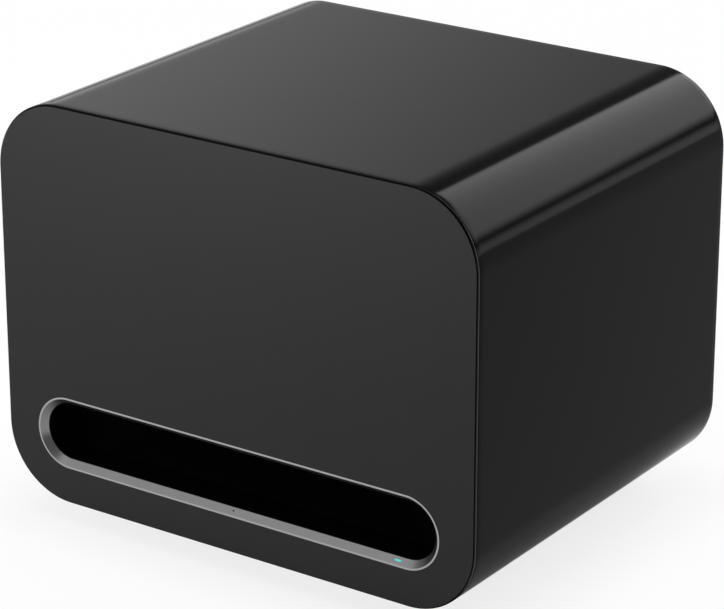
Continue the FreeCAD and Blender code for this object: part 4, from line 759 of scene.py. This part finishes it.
# Woofer

def cone_wall(radius):
    """Height of the cone's lower face: a straight slope in from the edge of its flat land."""
    return WOOFER_Z + CONE_SLOPE * (CONE_LAND - np.minimum(radius, CONE_LAND))


def paper_cone():
    """Turned cone: a flat land and a straight wall with shallow pressed rings, each a raised
    cosine of the radius, then the same wall without rings on the way back, a thickness higher
    and a little more where it slopes."""
    ring_height, ring_pitch = 0.22, 5.5
    thickness, slope_extra, slope_edge = 1.2, 0.29, 69.1
    radius = np.linspace(CONE_RADIUS, CONE_NECK, 120)
    wave = 0.5 - 0.5 * np.cos((CONE_LAND - radius) / ring_pitch * 2 * np.pi)
    rings = ring_height * wave * (radius < CONE_LAND) * (radius > CAP_RADIUS)
    extra = slope_extra * (radius < slope_edge)
    lower = np.stack([radius, cone_wall(radius) + rings], axis=1)
    upper = np.stack([radius, cone_wall(radius) + thickness + extra], axis=1)[::-1]
    return piece("paper_cone", closed(turned(np.concatenate([lower, upper]))), sharp=30)


def cone_cap():
    """Shallow dome with a thin wall, cut from a sphere: the height at a radius r is that of the
    lowest point plus the sphere's radius R, less the root of (R^2 - r^2)."""
    sunk, thickness = 0.3, 1.0
    rim_z = float(cone_wall(CAP_RADIUS)) - sunk
    sphere = (CAP_RADIUS ** 2 + CAP_HEIGHT ** 2) / (2 * CAP_HEIGHT)

    def dome(radius, lift):
        return rim_z - CAP_HEIGHT + lift + sphere - np.sqrt(sphere ** 2 - radius ** 2)

    out = np.linspace(0, CAP_RADIUS, 40)
    back = np.linspace(CAP_RADIUS - thickness, 0, 40)
    outer = np.stack([out, dome(out, 0)], axis=1)
    inner = np.stack([back, np.minimum(dome(back, thickness), rim_z)], axis=1)
    return piece("cone_cap", turned(np.concatenate([outer, inner])), sharp=40)


def radial_share(obj, outer, inner):
    """Works out a share for each point: 0 at the outer radius and 1 at the inner one, by an even S
    of its distance from the woofer's axis. The shares are not kept or used."""
    points = np.empty(len(obj.data.vertices) * 3, np.float32)
    obj.data.vertices.foreach_get("co", points)
    points = points.reshape(-1, 3) / MM
    radius = np.hypot(points[:, 0] - WOOFER[0], points[:, 1] - WOOFER[1])
    share = np.clip((outer - radius) / (outer - inner), 0, 1)
    share = share * share * (3 - 2 * share)


def flexing(obj, slot, node, outer, inner):
    """A ring held at its outer radius: gives it its finish, bakes its placement into its mesh and
    hides its node.
    """
    dress(obj, slot)
    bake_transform(obj)
    radial_share(obj, outer, inner)
    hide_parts(node)


def roll_surround():
    """Half roll between two flat lips: points at the roll's radius round its middle by the
    cosine and sine of half a turn, and again one thickness further in."""
    top, middle, roll, thickness, bevel = WOOFER_Z - 0.1, 82.0, 8.0, 1.0, 0.2
    outer_edge, inner_edge = 94.5, CONE_LAND
    turn = np.radians(np.linspace(8, 172, 48))
    outer = np.stack([middle + roll * np.cos(turn), top - roll * np.sin(turn)], axis=1)
    turn = np.radians(np.linspace(180, 0, 48))
    inner = np.stack([middle + (roll - thickness) * np.cos(turn),
                      top - (roll - thickness) * np.sin(turn)], axis=1)
    low = top - thickness
    lips = [(outer_edge, top), (outer_edge, low + bevel), (outer_edge - 0.3, low)]
    inner_lips = [(inner_edge + bevel, low), (inner_edge, low + bevel), (inner_edge, top)]
    profile = np.concatenate([lips, outer, inner_lips, inner])
    return piece("roll_surround", closed(turned(profile)), sharp=30)


def woven_spider():
    """Corrugated disc: height is a sine of the radius, five waves between two flat lips."""
    middle_z, wave_height, waves, half_thickness = 69.6, 2.0, 5, 0.3
    inner_edge, waves_start, waves_run, outer_edge = 25.0, 28.0, 24.0, 61.0
    radius = np.linspace(inner_edge, outer_edge, 150)
    share = np.clip((radius - waves_start) / waves_run, 0, 1)
    height = middle_z + wave_height * np.sin(2 * np.pi * waves * share)
    lower = np.stack([radius, height - half_thickness], axis=1)
    upper = np.stack([radius, height + half_thickness], axis=1)[::-1]
    return piece("woven_spider", closed(turned(np.concatenate([lower, upper]))), sharp=60)


# Wadding

def wadding(name, side):
    """Crowned pad, with u along it and v up it, both from -1 to 1. Its half thickness is the
    crown times the power 0.4 of (1 - u^6)(1 - v^6). Between the corners its ends pull in by a
    share of (1 - v^2) and its long edges by a share of (1 - u^2)."""
    crown, half_length, half_height = 8.9, 105.0, 33.0
    middle_x, middle_z = 160.7, 205.0
    line = np.sin(np.linspace(-np.pi / 2, np.pi / 2, 41))
    u, v = np.meshgrid(line, line)
    half = crown * ((1 - u ** 6) * (1 - v ** 6)) ** 0.4
    x = side * middle_x
    y = half_length * u * (1 - 0.02 * (1 - v ** 2) * u ** 2)
    z = middle_z + half_height * v * (1 - 0.04 * (1 - u ** 2) * v ** 2)
    near = np.stack([x - half, y, z], axis=2)
    far = np.stack([x + half, y, z], axis=2)
    made = piece(name, near, far, sharp=50)
    dress(made, "felt")
    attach(made, "cabinet")
    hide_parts("wadding_pads")


# Stage

def camera():
    """Camera on the line through the middle of the cabinet that the photograph was taken from,
    moved sideways and down by the small offset of the cabinet in the frame."""
    width = 2 * CABINET[0] * MM
    turn, rise = math.radians(CAMERA_TURN), math.radians(CAMERA_RISE)
    right = Vector((math.cos(turn), math.sin(turn), 0))
    back = Vector((math.sin(turn) * math.cos(rise), -math.cos(turn) * math.cos(rise),
                   math.sin(rise)))
    up = back.cross(right)
    place = Vector((0, 0, CABINET[3] * MM)) + back * CAMERA_DISTANCE * width
    place = place - right * CAMERA_LEFT * width - up * CAMERA_DOWN * width
    data = bpy.data.cameras.new("camera")
    data.sensor_width = SENSOR_WIDTH
    data.lens = FOCAL_PIXELS / FRAME_PIXELS * SENSOR_WIDTH
    data.clip_end = 200.0
    made = placed("camera", data)
    made.matrix_world = Matrix.Translation(place) @ Matrix((right, up, back)).transposed().to_4x4()
    bpy.context.scene.camera = made


def floor():
    """Flat floor as a grid of points at height 0. To the camera and in mirrors a share of its
    paint is plain white. Under the object the camera sees less of it and mirrors none, so that
    the object's shadow stays."""
    half, count = 30000.0, 13
    line = np.linspace(-half, half, count)
    x, y = np.meshgrid(line, line)
    points = np.stack([x, y, np.zeros_like(x)], axis=2).reshape(-1, 3) * MM
    mesh = bpy.data.meshes.new("floor")
    mesh.from_pydata(points.tolist(), [], cell_corners(count, count).reshape(-1, 4).tolist())
    made = placed("floor", mesh)
    f = Finish("floor_paint")
    cloud = f.noise(per_metre=3, detail=2)
    paint = f.node("ShaderNodeBsdfPrincipled", {}, {
        "Base Color": f.between(cloud, (0.79, 0.79, 0.79), (0.83, 0.83, 0.83)),
        "Roughness": 0.9, "Specular IOR Level": 0.2})
    white = f.node("ShaderNodeEmission", {}, {"Color": (1, 1, 1, 1), "Strength": 1.0})
    beside = abs(f.axis("X")) - CABINET[0] * MM
    before = abs(f.axis("Y")) - BACK_Y * MM
    clear = beside.maths("MAXIMUM", beside, before).step(0.0, SHADOW_FADE)
    looked_at = f.ray("Is Camera Ray") * (clear * (FLOOR_WHITE - SHADOW_WHITE) + SHADOW_WHITE)
    mirrored = (f.ray("Is Glossy Ray") + f.ray("Is Transmission Ray")) * clear * FLOOR_WHITE
    f.ended(f.node("ShaderNodeMixShader", {}, {0: looked_at + mirrored, 1: paint, 2: white}))
    mesh.materials.append(f.material)


def lamp(name, place, aim, size, power):
    """Square lamp at a place, turned to look at a point."""
    data = bpy.data.lights.new(name, "AREA")
    data.shape = "SQUARE"
    data.size = size
    data.energy = power
    away = (Vector(place) - Vector(aim)).to_track_quat("Z", "Y")
    made = placed(name, data)
    made.matrix_world = Matrix.Translation(Vector(place)) @ away.to_matrix().to_4x4()


def studio():
    """Light from all round by direction: turn is 0 behind the object, 90 on its right and -90 on
    its left, and z is the height, from 0 at the horizon to 1 overhead. A dim level everywhere, a
    faint wall from the left to the front left, a softbox at the back left, a strong one behind,
    a bright strip low at the back right, a faint low front, and a soft band high at the front
    left. The rest of the sky and of the right side stays dim."""
    world = bpy.data.worlds.new("studio")
    bpy.context.scene.world = world
    world.use_nodes = True
    f = Finish("studio", world.node_tree)
    look = f.node("ShaderNodeTexCoord", output="Generated")
    x, y, z = (f.node("ShaderNodeSeparateXYZ", {}, {"Vector": look}, name) for name in "XYZ")
    turn = x.maths("ARCTAN2", x, y) * (180 / math.pi)
    wall = turn.band((-175, -140), (-80, -64)) * (1 - z.step(0.62, 0.98))
    left = turn.band((-80, -64), (-56, -21)) * z.band((0.02, 0.14), (0.48, 0.66))
    back = turn.band((-15, -11), (40, 48)) * z.band((0.16, 0.30), (0.66, 0.72))
    strip = turn.band((20, 36), (80, 120)) * (1 - z.step(0.07, 0.16))
    front = (1 - turn.step(-135, -105) + turn.step(150, 175)) * (1 - z.step(0.18, 0.34))
    high = (1 - turn.step(-100, -80)) * z.band((0.50, 0.66), (0.88, 0.97))
    glow = 0.25 + high * 0.75 + wall * 0.16 + left * 2.5 + back * 6.6 + strip * 3.4 + front * 0.5
    shown = f.node("ShaderNodeBackground", {}, {"Color": (1, 1, 1, 1), "Strength": glow})
    f.ended(shown, "ShaderNodeOutputWorld")


slots = {part["node"]: part["material_slot"] for part in frame["record"]["subparts"]}
for node, obj in frame["nodes"].items():
    dress(obj, slots[node])

camera()
floor()
lamp("front_lamp", place=(-0.63, -1.15, 0.34), aim=(0, -0.15, 0.25), size=0.5, power=9.5)
lamp("top_lamp", place=(0, -0.24, 2.5), aim=(0, 0, 0), size=1.6, power=22)
studio()

fitted(cabinet_skin(), "cabinet", "cabinet_lacquer", "cabinet_shell")
fitted(rubber_feet(), "cabinet", "rubber_black", "feet")
fitted(front_rim(), "cabinet", "frame_plastic", "front_frame")
fitted(front_sheet(), "cabinet", "panel_plastic", "front_panel")
fitted(slot_bezel(), "cabinet", "bezel_metal", "port_bezel")
fitted(paper_cone(), "cone_assembly", "cone_paper", "cone")
fitted(cone_cap(), "cone_assembly", "cone_paper", "dust_cap")
flexing(roll_surround(), "rubber_black", "surround", outer=90.0, inner=74.0)
flexing(woven_spider(), "spider_cloth", "spider", outer=52.0, inner=28.0)
wadding("wadding_left", -1)
wadding("wadding_right", 1)

bpy.context.scene.view_settings.view_transform = "Standard"
